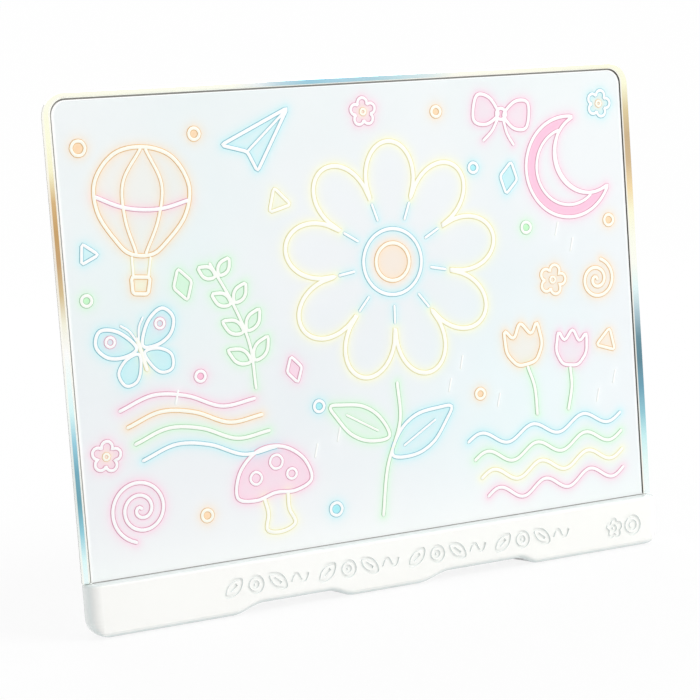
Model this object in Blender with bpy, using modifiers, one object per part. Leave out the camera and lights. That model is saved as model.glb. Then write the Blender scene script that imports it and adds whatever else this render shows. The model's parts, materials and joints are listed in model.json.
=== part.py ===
"""LED writing board: an edge-lit acrylic sheet in a plated frame, standing in a rechargeable base.

The board stands on the XY plane and faces -Y, with X to its right and Z up. The origin lies under
the middle of its bounding box. Run with blender --background --python part.py, or from the editor.
"""
import math

import bmesh
import bpy
from mathutils import Vector

for leftover in list(bpy.data.objects):
    bpy.data.objects.remove(leftover, do_unlink=True)

MM = 0.001

# General clearances and the overrun of every cut
SEAT_GAP = 0.3 * MM
SOLDER_GAP = 0.1 * MM
OVERRUN = 2.0 * MM
MERGE_DISTANCE = 0.001 * MM

# Acrylic sheet
SHEET_WIDTH = 289.0 * MM
SHEET_VISIBLE_HEIGHT = 207.6 * MM
SHEET_THICKNESS = 3.0 * MM
SHEET_SEAT_DEPTH = 9.7 * MM
SHEET_CORNER_RADIUS = 6.6 * MM
SHEET_CHAMFER = 0.25 * MM

# Dark gasket between sheet and frame
GASKET_WIDTH = 0.45 * MM
GASKET_GAP = 0.15 * MM
GASKET_RECESS = 0.5 * MM

# Plated frame: one section, narrower along the top
FRAME_SIDE_WIDTH = 3.5 * MM
FRAME_TOP_WIDTH = 2.6 * MM
FRAME_PROUD = 0.8 * MM
FRAME_BEVEL = 0.8 * MM
FRAME_EDGE_RADIUS = 0.3 * MM
FRAME_SIDE_DEPTH = 2.0 * MM
FRAME_LAP = 0.6 * MM
FRAME_REAR_TAPER = 1.6 * MM
FRAME_OUTER_RADIUS = 10.3 * MM

# White sheet behind the acrylic
REFLECTOR_THICKNESS = 0.4 * MM
REFLECTOR_MARGIN = 0.2 * MM

# Moulded back cover
BACK_THICKNESS = 4.3 * MM
BACK_SKIN = 1.8 * MM
BACK_STEP_DEPTH = 0.9 * MM
BACK_FLANGE = 1.6 * MM
BACK_TAPER = 3.4 * MM
BACK_EDGE_RADIUS = 0.9 * MM
BACK_RIB = 1.6 * MM
BACK_RIM = 7.0 * MM
BACK_POCKET_COLUMNS = 6
BACK_POCKET_ROWS = 4
TONGUE_SIDE_MARGIN = 16.5 * MM
TONGUE_DEPTH = 12.1 * MM
TONGUE_STEP = 0.4 * MM

# Base
BASE_END_INSET = 0.45 * MM
BASE_DEPTH = 28.0 * MM
BASE_HEIGHT = 23.6 * MM
LEDGE_DEPTH = 7.6 * MM
LEDGE_SLOT_GAP = 0.4 * MM
BASE_FRONT_RADIUS = 5.2 * MM
BASE_REAR_RADIUS_ALONG = 36.0 * MM
BASE_REAR_RADIUS_ACROSS = 20.0 * MM
BASE_END_RADIUS = 8.0 * MM
BASE_FOOT_FILLET = 3.0 * MM
BASE_TOP_FILLET = 1.2 * MM
BASE_TOP_WALL = 2.0 * MM
BASE_WALL = 3.2 * MM
CAVITY_END_MARGIN = 14.3 * MM

# Three lands keep their length for what they carry, and two shallow arches take the rest
LEFT_LAND = 67.5 * MM
MIDDLE_LAND = 41.9 * MM
RIGHT_LAND = 74.0 * MM
ARCH_SLOPE = 8.9 * MM
ARCH_RISE = 3.7 * MM
ARCH_EDGE_RADIUS = 1.8 * MM

# Bottom cover, its screws and the bosses that take them
COVER_THICKNESS = 2.2 * MM
END_SCREW_INSET = 3.0 * MM
LAND_SCREW_MARGIN = 3.2 * MM
BOSS_RADIUS = 2.5 * MM
BOSS_TO_CHANNEL = 0.8 * MM
SCREW_RADIUS = 1.0 * MM
SCREW_HEAD_RADIUS = 2.0 * MM
SCREW_HEAD_HEIGHT = 0.8 * MM
COVER_SCREW_TIP_MARGIN = 2.4 * MM
COVER_SCREW_SINK = 1.3 * MM

# Screws from behind into the tongue
BOARD_SCREW_SHARES = (-0.8, -0.3, 0.3, 0.8)
BOARD_SCREW_DROP = 6.1 * MM
BOARD_SCREW_BITE = 2.4 * MM
BOARD_SCREW_SINK = 2.2 * MM
BOARD_BOSS_RADIUS = 3.0 * MM

# Feet
FOOT_THICKNESS = 0.7 * MM
FOOT_PROUD = 0.5 * MM
FOOT_POCKET_DEPTH = 0.5 * MM
FOOT_SIDE_MARGIN = 1.8 * MM
FOOT_CORNER_RADIUS = 2.0 * MM
FOOT_END_MARGIN = 16.5 * MM
FOOT_ARCH_MARGIN = 8.2 * MM

# Light channel and strip
CHANNEL_END_MARGIN = 2.0 * MM
CHANNEL_WALL = 1.0 * MM
STRIP_THICKNESS = 0.8 * MM
STRIP_END_MARGIN = 1.0 * MM
LED_END_MARGIN = 4.0 * MM
LED_PITCH = 12.0 * MM
LED_LENGTH = 3.5 * MM
LED_WIDTH = 2.2 * MM
LED_HEIGHT = 0.8 * MM
LED_TO_SHEET = 0.5 * MM
SADDLE_WIDTH = 2.0 * MM
SADDLE_TO_BOARD = 4.0 * MM

# Main board and what is soldered to it
BOARD_LENGTH = 36.5 * MM
BOARD_END_MARGIN = 13.5 * MM
BOARD_MARGIN = 0.5 * MM
BOARD_THICKNESS = 1.2 * MM
BOARD_LIFT = 2.4 * MM
BOARD_POST_RADIUS = 2.2 * MM
BOARD_POST_INSET = 3.6 * MM
BOARD_ROW_INSET = 8.1 * MM
PCB_SCREW_LENGTH = 3.2 * MM
CHIP_SIZE = (5.0 * MM, 5.0 * MM, 1.0 * MM)
CHIP_INSET = 10.0 * MM
CONNECTOR_SIZE = (5.0 * MM, 4.0 * MM, 3.2 * MM)
CONNECTOR_INSET = 18.7 * MM

# Charging inlet
USB_INSET = 7.0 * MM
USB_WIDTH = 9.0 * MM
USB_HEIGHT = 3.2 * MM
USB_LENGTH = 7.3 * MM
USB_SHELL = 0.3 * MM
USB_CORNER_RADIUS = 1.3 * MM
USB_RECESS = 0.3 * MM
USB_TONGUE_WIDTH = 6.7 * MM
USB_TONGUE_HEIGHT = 0.7 * MM
USB_TONGUE_LENGTH = 4.6 * MM
USB_FLARE_MARGIN = 1.6 * MM
USB_FLARE_DEPTH = 0.8 * MM

# Charge lamp and its light pipe
CHARGE_LIGHT_INSET = 16.0 * MM
CHARGE_LED_SIZE = 1.6 * MM
LIGHT_PIPE_RADIUS = 1.0 * MM
LIGHT_PIPE_INSIDE = 2.6 * MM

# Keys and the switches behind them
POWER_INSET = 4.0 * MM
KEY_SPACING = 9.0 * MM
KEY_RADIUS = 3.0 * MM
KEY_PROUD = 0.7 * MM
KEY_TRAVEL = 0.5 * MM
KEY_FLANGE_RADIUS = 3.9 * MM
KEY_FLANGE_THICKNESS = 0.7 * MM
KEY_STEM_RADIUS = 1.2 * MM
KEY_STEM_LENGTH = 1.4 * MM
KEY_EDGE_RADIUS = 0.5 * MM
SWITCH_WIDTH = 6.0 * MM
SWITCH_HEIGHT = 3.6 * MM
SWITCH_LENGTH = 3.4 * MM
PLUNGER_RADIUS = 0.9 * MM
PLUNGER_PROUD = 1.2 * MM
PLUNGER_DEPTH = 0.8 * MM

# Cell, pad and leads
CELL_TO_BOSS = 1.5 * MM
CELL_SIDE_MARGIN = 1.8 * MM
CELL_HEADROOM = 1.5 * MM
CELL_END_MARGIN = 16.0 * MM
CELL_EDGE_SHARE = 0.2
PAD_THICKNESS = 0.8 * MM
PAD_MARGIN = 1.5 * MM
LEAD_RADIUS = 0.6 * MM
LEAD_TO_CHANNEL = 0.6 * MM
LEAD_SPACING = 2.0 * MM
LEAD_SAG_SHARE = 0.1
LED_LEAD_INSET = 11.5 * MM
LED_LEAD_HOLE_MARGIN = 0.5 * MM

# How finely the round shapes are drawn
CORNER_STEPS = 8
BASE_CORNER_STEPS = 6
BASE_REAR_STEPS = 10
END_STEPS = 8
FILLET_STEPS = 3
ARCH_STEPS = 7
ROUND_SEGMENTS = 20
SCREW_SEGMENTS = 12
LEAST_RADIUS_SHARE = 0.3

# Places that follow from the sizes above, front to back
BASE_FRONT = -(BASE_DEPTH + KEY_PROUD) / 2
BASE_REAR = BASE_FRONT + BASE_DEPTH
SHEET_FRONT = BASE_FRONT + LEDGE_DEPTH
SHEET_REAR = SHEET_FRONT + SHEET_THICKNESS
FRAME_FRONT = SHEET_FRONT - FRAME_PROUD
REFLECTOR_FRONT = SHEET_REAR + SEAT_GAP
REFLECTOR_REAR = REFLECTOR_FRONT + REFLECTOR_THICKNESS
BACK_FRONT = REFLECTOR_REAR + SEAT_GAP
BACK_REAR = BACK_FRONT + BACK_THICKNESS
FRAME_REAR = BACK_FRONT + FRAME_LAP
CHANNEL_INNER_FRONT = SHEET_FRONT - SEAT_GAP
CHANNEL_INNER_REAR = SHEET_REAR + SEAT_GAP
CHANNEL_FRONT = CHANNEL_INNER_FRONT - CHANNEL_WALL
CHANNEL_REAR = CHANNEL_INNER_REAR + CHANNEL_WALL
CHANNEL_MIDDLE = (CHANNEL_FRONT + CHANNEL_REAR) / 2
TONGUE_FRONT = CHANNEL_REAR + SEAT_GAP
TONGUE_REAR = BACK_REAR - TONGUE_STEP
BASE_MIDDLE = (BASE_FRONT + BASE_REAR) / 2
CAVITY_FRONT = BASE_FRONT + BASE_WALL
CAVITY_REAR = BASE_REAR - BASE_WALL
CAVITY_HALF_DEPTH = (CAVITY_REAR - CAVITY_FRONT) / 2
BOARD_FRONT = CAVITY_FRONT + BOARD_MARGIN
BOARD_REAR = CAVITY_REAR - KEY_FLANGE_THICKNESS - KEY_TRAVEL - 2 * SEAT_GAP
BOARD_ROW = BOARD_REAR - BOARD_ROW_INSET
LEAD_ROW = CHANNEL_REAR + LEAD_TO_CHANNEL + LEAD_RADIUS + LEAD_SPACING

# Places that follow, upwards
BASE_BOTTOM = FOOT_PROUD
LEDGE_TOP = BASE_BOTTOM + BASE_HEIGHT
CAVITY_TOP = LEDGE_TOP - BASE_TOP_WALL
COVER_TOP = BASE_BOTTOM + COVER_THICKNESS
SHEET_BOTTOM = LEDGE_TOP - SHEET_SEAT_DEPTH
SHEET_TOP = LEDGE_TOP + SHEET_VISIBLE_HEIGHT
FRAME_BOTTOM = LEDGE_TOP + SEAT_GAP
TONGUE_BOTTOM = LEDGE_TOP - TONGUE_DEPTH
STRIP_BOTTOM = SHEET_BOTTOM - LED_TO_SHEET - LED_HEIGHT - STRIP_THICKNESS
CHANNEL_FLOOR_TOP = STRIP_BOTTOM - SOLDER_GAP
CHANNEL_BOTTOM = CHANNEL_FLOOR_TOP - CHANNEL_WALL
BOSS_TOP = CHANNEL_BOTTOM - BOSS_TO_CHANNEL
COVER_SCREW_SEAT = BASE_BOTTOM + COVER_SCREW_SINK - SEAT_GAP
COVER_SCREW_LENGTH = BOSS_TOP - COVER_SCREW_SEAT - COVER_SCREW_TIP_MARGIN
BOARD_SCREW_HEIGHT = LEDGE_TOP - BOARD_SCREW_DROP
BOARD_BOTTOM = COVER_TOP + BOARD_LIFT
BOARD_TOP = BOARD_BOTTOM + BOARD_THICKNESS
SOLDERED_BOTTOM = BOARD_TOP + SOLDER_GAP
KEY_HEIGHT = SOLDERED_BOTTOM + SWITCH_HEIGHT / 2
USB_CENTRE_HEIGHT = SOLDERED_BOTTOM + USB_HEIGHT / 2
ARCH_COVER_TOP = BASE_BOTTOM + ARCH_RISE + COVER_THICKNESS
LEAD_HEIGHT = (ARCH_COVER_TOP + TONGUE_BOTTOM) / 2
LEAD_SAG = LEAD_SAG_SHARE * (TONGUE_BOTTOM - ARCH_COVER_TOP)
PAD_BOTTOM = COVER_TOP + SOLDER_GAP
CELL_BOTTOM = PAD_BOTTOM + PAD_THICKNESS + SOLDER_GAP
CELL_HEIGHT = CHANNEL_BOTTOM - CELL_HEADROOM - CELL_BOTTOM

# Frame outline at the sheet: the gasket line and then the metal
FRAME_INNER_HALF = SHEET_WIDTH / 2 + GASKET_WIDTH + 2 * GASKET_GAP
FRAME_INNER_TOP = SHEET_TOP + GASKET_WIDTH + 2 * GASKET_GAP
FRAME_INNER_RADIUS = SHEET_CORNER_RADIUS + GASKET_WIDTH

# Places that follow along the board, from the ends inwards
TONGUE_HALF = SHEET_WIDTH / 2 - TONGUE_SIDE_MARGIN
BASE_HALF_WIDTH = FRAME_INNER_HALF + FRAME_SIDE_WIDTH - BASE_END_INSET
CAVITY_HALF = BASE_HALF_WIDTH - CAVITY_END_MARGIN
CHANNEL_HALF = CAVITY_HALF - CHANNEL_END_MARGIN
STRIP_HALF = CHANNEL_HALF - STRIP_END_MARGIN
ARCH_WIDTH = (2 * BASE_HALF_WIDTH - LEFT_LAND - MIDDLE_LAND - RIGHT_LAND) / 2
LEFT_ARCH = (LEFT_LAND - BASE_HALF_WIDTH, LEFT_LAND - BASE_HALF_WIDTH + ARCH_WIDTH)
RIGHT_ARCH = (BASE_HALF_WIDTH - RIGHT_LAND - ARCH_WIDTH, BASE_HALF_WIDTH - RIGHT_LAND)
FEET = {
    "left": (FOOT_END_MARGIN - CAVITY_HALF, LEFT_ARCH[0] - FOOT_ARCH_MARGIN),
    "middle": (LEFT_ARCH[1] + FOOT_ARCH_MARGIN, RIGHT_ARCH[0] - FOOT_ARCH_MARGIN),
    "right": (RIGHT_ARCH[1] + FOOT_ARCH_MARGIN, CAVITY_HALF - FOOT_END_MARGIN),
}
LEFT_SCREW = LEFT_ARCH[0] - LAND_SCREW_MARGIN
CELL_SPAN = (CELL_END_MARGIN - CAVITY_HALF, LEFT_SCREW - BOSS_RADIUS - CELL_TO_BOSS)
BOARD_RIGHT = CAVITY_HALF - BOARD_END_MARGIN
BOARD_LEFT = BOARD_RIGHT - BOARD_LENGTH
POWER_PLACE = BOARD_LEFT + POWER_INSET
MODE_PLACE = POWER_PLACE + KEY_SPACING
CHARGE_LIGHT_PLACE = BOARD_RIGHT - CHARGE_LIGHT_INSET
LED_LEAD_PLACE = BOARD_RIGHT - LED_LEAD_INSET
USB_PLACE = BOARD_RIGHT - USB_INSET

parts = bpy.data.collections.new("led_writing_board")
bpy.context.scene.collection.children.link(parts)
cutters = bpy.data.collections.new("cutters")
bpy.context.scene.collection.children.link(cutters)


def material(name, colour, roughness, metallic=0.0, transmission=0.0, glow=0.0):
    """A Principled material with the part's own colour and surface."""
    made = bpy.data.materials.new(name)
    made.use_nodes = True
    shader = made.node_tree.nodes["Principled BSDF"]
    shader.inputs["Base Color"].default_value = (*colour, 1.0)
    shader.inputs["Roughness"].default_value = roughness
    shader.inputs["Metallic"].default_value = metallic
    shader.inputs["Transmission Weight"].default_value = transmission
    shader.inputs["Emission Color"].default_value = (*colour, 1.0)
    shader.inputs["Emission Strength"].default_value = glow
    made.diffuse_color = (*colour, 1.0)
    return made


CHROME = material("plated_chrome", (0.86, 0.88, 0.88), 0.12, metallic=1.0)
ACRYLIC = material("clear_acrylic", (0.90, 0.94, 0.96), 0.05, transmission=0.6)
GLOSS_WHITE = material("gloss_white", (0.88, 0.89, 0.88), 0.22)
MATTE_WHITE = material("matte_white", (0.84, 0.85, 0.85), 0.5)
SHEET_WHITE = material("reflector_white", (0.92, 0.93, 0.95), 0.6)
DARK_RUBBER = material("dark_rubber", (0.05, 0.05, 0.05), 0.8)
GREY_RUBBER = material("grey_rubber", (0.55, 0.56, 0.56), 0.8)
STEEL = material("zinc_steel", (0.62, 0.63, 0.65), 0.35, metallic=1.0)
BOARD_GREEN = material("board_green", (0.03, 0.22, 0.10), 0.4)
STRIP_WHITE = material("strip_white", (0.85, 0.85, 0.82), 0.5)
CHIP_BLACK = material("chip_black", (0.02, 0.02, 0.02), 0.45)
CELL_SILVER = material("cell_silver", (0.66, 0.67, 0.68), 0.3, metallic=0.8)
FOAM = material("foam_pad", (0.20, 0.20, 0.21), 0.9)
LEAD_RED = material("lead_red", (0.65, 0.05, 0.04), 0.5)
LEAD_BLACK = material("lead_black", (0.03, 0.03, 0.03), 0.5)
CONNECTOR_CREAM = material("connector_cream", (0.80, 0.76, 0.66), 0.5)
CLEAR_PIPE = material("clear_pipe", (0.90, 0.93, 0.95), 0.15, transmission=0.8)
CHARGE_GREEN = material("charge_lamp", (0.45, 0.85, 0.50), 0.4, glow=0.5)


def new_object(name, mesh, finish=None, collection=None):
    """Link a mesh or curve as an object, among the parts unless told otherwise."""
    made = bpy.data.objects.new(name, mesh)
    if finish is not None:
        mesh.materials.append(finish)
    (collection or parts).objects.link(made)
    return made


def as_cutter(piece):
    """Move a helper among the cutters and keep it out of the picture."""
    for owner in list(piece.users_collection):
        owner.objects.unlink(piece)
    cutters.objects.link(piece)
    piece.hide_render = True
    piece.display_type = "WIRE"
    return piece


def combine(target, other, operation):
    """Add an exact Boolean between a piece and a cutter or addition."""
    step = target.modifiers.new(f"{operation.lower()}_{other.name}", "BOOLEAN")
    step.operation = operation
    step.solver = "EXACT"
    step.object = as_cutter(other)


def cut(target, *tools):
    for tool in tools:
        combine(target, tool, "DIFFERENCE")


def join(target, *additions):
    for addition in additions:
        combine(target, addition, "UNION")


def finish_mesh(bm, name):
    """Turn a bmesh into a mesh whose faces all point out."""
    bmesh.ops.recalc_face_normals(bm, faces=bm.faces)
    mesh = bpy.data.meshes.new(name)
    bm.to_mesh(mesh)
    bm.free()
    return mesh


def smooth(piece, angle=math.radians(35)):
    piece.data.shade_smooth()
    piece.data.set_sharp_from_angle(angle=angle)


def box(name, size, centre, finish=None, edge_radius=0.0):
    """A block placed by its middle, with edges rounded where a radius is given."""
    bm = bmesh.new()
    bmesh.ops.create_cube(bm, size=1.0)
    bmesh.ops.scale(bm, vec=Vector(size), verts=bm.verts)
    made = new_object(name, finish_mesh(bm, name), finish)
    made.location = centre
    if edge_radius:
        rounding = made.modifiers.new("rounding", "BEVEL")
        rounding.width = edge_radius
        rounding.segments = 2
    return made


def span_box(name, spans, finish=None, edge_radius=0.0):
    """A block between two limits along each axis."""
    size = [high - low for low, high in spans]
    centre = [(high + low) / 2 for low, high in spans]
    return box(name, size, centre, finish, edge_radius)


def cylinder(name, radius, start, end, finish=None, segments=ROUND_SEGMENTS):
    """A round bar between two points."""
    axis = Vector(end) - Vector(start)
    bm = bmesh.new()
    bmesh.ops.create_cone(bm, cap_ends=True, segments=segments,
                          radius1=radius, radius2=radius, depth=axis.length)
    made = new_object(name, finish_mesh(bm, name), finish)
    made.location = (Vector(start) + Vector(end)) / 2
    made.rotation_euler = axis.to_track_quat("Z", "Y").to_euler()
    return made


def turned(name, profile, place, axis, finish=None, segments=ROUND_SEGMENTS):
    """A turned piece: radius and height pairs, from the top down, spun about the given axis."""
    bm = bmesh.new()
    corners = [bm.verts.new((radius, 0, height)) for radius, height in profile]
    for upper, lower in zip(corners, corners[1:]):
        bm.edges.new((upper, lower))
    mesh = bpy.data.meshes.new(name)
    bm.to_mesh(mesh)
    bm.free()
    made = new_object(name, mesh, finish)
    spin = made.modifiers.new("turn", "SCREW")
    spin.steps = segments
    spin.render_steps = segments
    spin.use_merge_vertices = True
    spin.merge_threshold = MERGE_DISTANCE
    made.location = place
    made.rotation_euler = Vector(axis).to_track_quat("Z", "Y").to_euler()
    return made


def loft(name, rings, finish=None):
    """Skin closed rings of equally many points and cap the first and the last."""
    bm = bmesh.new()
    layers = [[bm.verts.new(point) for point in ring] for ring in rings]
    count = len(layers[0])
    for lower, upper in zip(layers, layers[1:]):
        for here in range(count):
            after = (here + 1) % count
            bm.faces.new((lower[here], lower[after], upper[after], upper[here]))
    bm.faces.new(layers[0])
    bm.faces.new(layers[-1])
    return new_object(name, finish_mesh(bm, name), finish)


def evaluated_mesh(piece):
    """The mesh of a piece as its modifiers and its place leave it."""
    graph = bpy.context.evaluated_depsgraph_get()
    graph.update()
    mesh = bpy.data.meshes.new_from_object(piece.evaluated_get(graph))
    mesh.transform(piece.matrix_world)
    return mesh


def repeated(name, piece, offsets):
    """A cutter or addition that holds a copy of the piece at each offset; the piece goes."""
    bpy.context.view_layer.update()
    pattern = evaluated_mesh(piece)
    bm = bmesh.new()
    for offset in offsets:
        start = len(bm.verts)
        bm.from_mesh(pattern)
        bm.verts.ensure_lookup_table()
        bmesh.ops.translate(bm, vec=Vector(offset), verts=bm.verts[start:])
    bpy.data.objects.remove(piece, do_unlink=True)
    mesh = bpy.data.meshes.new(name)
    bm.to_mesh(mesh)
    bm.free()
    return new_object(name, mesh)


def arc(centre, radii, start, stop, steps):
    """Points along a circle or ellipse in its own plane, angles in degrees."""
    points = []
    for step in range(steps + 1):
        angle = math.radians(start + (stop - start) * step / steps)
        points.append((centre[0] + radii[0] * math.cos(angle),
                       centre[1] + radii[1] * math.sin(angle)))
    return points


def arched_path(half, top, bottom, radius):
    """Up the left side, over two round corners and down the right side, as (x, z)."""
    left = arc((-half + radius, top - radius), (radius, radius), 180, 90, CORNER_STEPS)
    right = arc((half - radius, top - radius), (radius, radius), 90, 0, CORNER_STEPS)
    return [(-half, bottom)] + left + right + [(half, bottom)]


def standing(path, y):
    """Stand an (x, z) outline up at one depth."""
    return [(x, y, z) for x, z in path]


def rounded_rectangle(half_width, half_height, radius, steps=4):
    """A closed outline about its own middle."""
    points = []
    for quarter, (side, rise) in enumerate(((1, 1), (-1, 1), (-1, -1), (1, -1))):
        centre = (side * (half_width - radius), rise * (half_height - radius))
        points += arc(centre, (radius, radius), 90 * quarter, 90 * quarter + 90, steps)
    return points


# The upright board

def frame_path(share, rear_inset=0.0, inner_offset=0.0):
    """The frame's outline at a share of its width, less an inset, plus an inner offset."""
    side = share * FRAME_SIDE_WIDTH - rear_inset + inner_offset
    top = share * FRAME_TOP_WIDTH - rear_inset + inner_offset
    radius_gain = side / FRAME_SIDE_WIDTH * (FRAME_OUTER_RADIUS - FRAME_INNER_RADIUS)
    radius = FRAME_INNER_RADIUS + radius_gain
    return arched_path(FRAME_INNER_HALF + side, FRAME_INNER_TOP + top, FRAME_BOTTOM, radius)


def chrome_frame():
    """One bevelled section swept up, over and down; its feet stand on the ledge."""
    edge = FRAME_EDGE_RADIUS
    soft = edge * (1 - math.sqrt(0.5))
    section = [
        (frame_path(0), FRAME_REAR),
        (frame_path(0), FRAME_FRONT + FRAME_BEVEL),
        (frame_path(0, inner_offset=FRAME_BEVEL), FRAME_FRONT),
        (frame_path(1, rear_inset=edge), FRAME_FRONT),
        (frame_path(1, rear_inset=soft), FRAME_FRONT + soft),
        (frame_path(1), FRAME_FRONT + edge),
        (frame_path(1), FRAME_FRONT + FRAME_SIDE_DEPTH),
        (frame_path(1, rear_inset=FRAME_REAR_TAPER), FRAME_REAR),
    ]
    lines = [standing(path, y) for path, y in section]
    stations = [[line[step] for line in lines] for step in range(len(lines[0]))]
    made = loft("chrome_frame", stations, CHROME)
    smooth(made)


def sheet_path(inset, bottom=None):
    """The acrylic sheet's outline, drawn in by an inset."""
    low = SHEET_BOTTOM if bottom is None else bottom
    return arched_path(SHEET_WIDTH / 2 - inset, SHEET_TOP - inset, low,
                       SHEET_CORNER_RADIUS - inset)


def writing_panel():
    rings = [
        standing(sheet_path(SHEET_CHAMFER), SHEET_FRONT),
        standing(sheet_path(0), SHEET_FRONT + SHEET_CHAMFER),
        standing(sheet_path(0), SHEET_REAR - SHEET_CHAMFER),
        standing(sheet_path(SHEET_CHAMFER), SHEET_REAR),
    ]
    smooth(loft("writing_panel", rings, ACRYLIC))


def panel_gasket():
    """A thin dark strip that fills the line between sheet and frame."""
    inner = sheet_path(-GASKET_GAP, FRAME_BOTTOM)
    outer = sheet_path(-GASKET_GAP - GASKET_WIDTH, FRAME_BOTTOM)
    front = SHEET_FRONT + GASKET_RECESS
    lines = [standing(inner, SHEET_REAR), standing(inner, front),
             standing(outer, front), standing(outer, SHEET_REAR)]
    stations = [[line[step] for line in lines] for step in range(len(lines[0]))]
    smooth(loft("panel_gasket", stations, DARK_RUBBER))


def reflector_sheet():
    bottom = CAVITY_TOP + SEAT_GAP
    outline = sheet_path(REFLECTOR_MARGIN, bottom)
    rings = [standing(outline, REFLECTOR_FRONT), standing(outline, REFLECTOR_REAR)]
    loft("reflector_sheet", rings, SHEET_WHITE)


def back_outline(offset, lift=0.0):
    """The back cover's outline, out from the frame's inner wall or, below zero, in from it."""
    return arched_path(FRAME_INNER_HALF + offset, FRAME_INNER_TOP + offset, FRAME_BOTTOM + lift,
                       FRAME_INNER_RADIUS + offset)


def back_cover():
    """A stepped cover that hides the frame's back, with ribs inside and a tongue below."""
    step = FRAME_REAR + SEAT_GAP
    taper_end = BACK_REAR - BACK_EDGE_RADIUS
    inner_end = BACK_FLANGE - BACK_TAPER
    rings = [
        standing(back_outline(-SEAT_GAP, SEAT_GAP), BACK_FRONT),
        standing(back_outline(-SEAT_GAP, SEAT_GAP), step),
        standing(back_outline(BACK_FLANGE), step),
        standing(back_outline(BACK_FLANGE), step + BACK_STEP_DEPTH),
        standing(back_outline(inner_end), taper_end),
        standing(back_outline(inner_end - BACK_EDGE_RADIUS), BACK_REAR),
    ]
    made = loft("back_cover", rings, MATTE_WHITE)
    tongue = span_box("back_tongue", ((-TONGUE_HALF, TONGUE_HALF), (TONGUE_FRONT, TONGUE_REAR),
                                      (TONGUE_BOTTOM, FRAME_BOTTOM + OVERRUN)))
    join(made, tongue)
    cut(made, back_pockets(), board_screw_holes("tongue_holes", TONGUE_REAR))
    smooth(made)


def back_pockets():
    """A grid of pockets cut from the front, which leaves the ribs between them."""
    half_field = SHEET_WIDTH / 2 - BACK_RIM
    field_height = SHEET_VISIBLE_HEIGHT - 2 * BACK_RIM
    across = 2 * half_field / BACK_POCKET_COLUMNS
    upward = field_height / BACK_POCKET_ROWS
    depth = BACK_THICKNESS - BACK_SKIN
    pocket = box("back_pocket", (across - BACK_RIB, depth + OVERRUN, upward - BACK_RIB), (0, 0, 0))
    offsets = []
    for column in range(BACK_POCKET_COLUMNS):
        for row in range(BACK_POCKET_ROWS):
            offsets.append((-half_field + across * (column + 0.5),
                            BACK_FRONT + (depth - OVERRUN) / 2,
                            LEDGE_TOP + BACK_RIM + upward * (row + 0.5)))
    return repeated("back_pockets", pocket, offsets)


def board_screw_offsets():
    return [(share * TONGUE_HALF, 0, 0) for share in BOARD_SCREW_SHARES]


def board_screw_holes(name, start, radius=SCREW_RADIUS + SEAT_GAP):
    """Bores for the four screws, from a depth forward through the tongue."""
    end = TONGUE_FRONT - OVERRUN
    hole = cylinder("board_screw_hole", radius, (0, start + OVERRUN, BOARD_SCREW_HEIGHT),
                    (0, end, BOARD_SCREW_HEIGHT), segments=SCREW_SEGMENTS)
    return repeated(name, hole, board_screw_offsets())


# The base

def base_plan(inset_x, inset_y, z):
    """The base seen from above: tight round corners in front, long soft ones behind."""
    half = BASE_HALF_WIDTH - inset_x
    front = BASE_FRONT + inset_y
    rear = BASE_REAR - inset_y
    least = LEAST_RADIUS_SHARE * BASE_FRONT_RADIUS
    near = (max(BASE_FRONT_RADIUS - inset_x, least), max(BASE_FRONT_RADIUS - inset_y, least))
    far = (BASE_REAR_RADIUS_ALONG - inset_x, BASE_REAR_RADIUS_ACROSS - inset_y)
    outline = arc((half - far[0], rear - far[1]), far, 0, 90, BASE_REAR_STEPS)
    outline += arc((-half + far[0], rear - far[1]), far, 90, 180, BASE_REAR_STEPS)
    outline += arc((-half + near[0], front + near[1]), near, 180, 270, BASE_CORNER_STEPS)
    outline += arc((half - near[0], front + near[1]), near, 270, 360, BASE_CORNER_STEPS)
    return [(x, y, z) for x, y in outline]


def quarter_inset(radius, height):
    """How far a fillet of this radius stands in at a height above its start."""
    if height >= radius:
        return 0.0
    return radius - math.sqrt(radius ** 2 - (radius - height) ** 2)


def base_rings():
    """Rings up the base: rounded ends and a filleted foot, straight walls, a soft top edge."""
    rings = []
    for step in range(END_STEPS + 1):
        rise = BASE_END_RADIUS * (1 - math.cos(math.radians(90 * step / END_STEPS)))
        rings.append(base_plan(quarter_inset(BASE_END_RADIUS, rise),
                               quarter_inset(BASE_FOOT_FILLET, rise), BASE_BOTTOM + rise))
    for step in range(FILLET_STEPS + 1):
        turn = math.radians(90 * step / FILLET_STEPS)
        inset = BASE_TOP_FILLET * (1 - math.cos(turn))
        rings.append(base_plan(inset, inset, LEDGE_TOP - BASE_TOP_FILLET * (1 - math.sin(turn))))
    return rings


def arch_line(arch, lift):
    """One arch from its left foot to its right foot, as (x, z), lifted by a height."""
    points = []
    for foot, side in zip(arch, (-1, 1)):
        flank = []
        for step in range(ARCH_STEPS + 1):
            share = step / ARCH_STEPS
            rise = ARCH_RISE * (1 - math.cos(math.pi * share)) / 2
            flank.append((foot - side * ARCH_SLOPE * share, BASE_BOTTOM + lift + rise))
        points += flank if side < 0 else flank[::-1]
    return points


def arch_section(arch, lift, y):
    """The arch's outline at one depth, lifted by a height and closed below the base."""
    outline = arch_line(arch, lift)
    low = BASE_BOTTOM - OVERRUN
    return standing([(outline[0][0], low)] + outline + [(outline[-1][0], low)], y)


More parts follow.
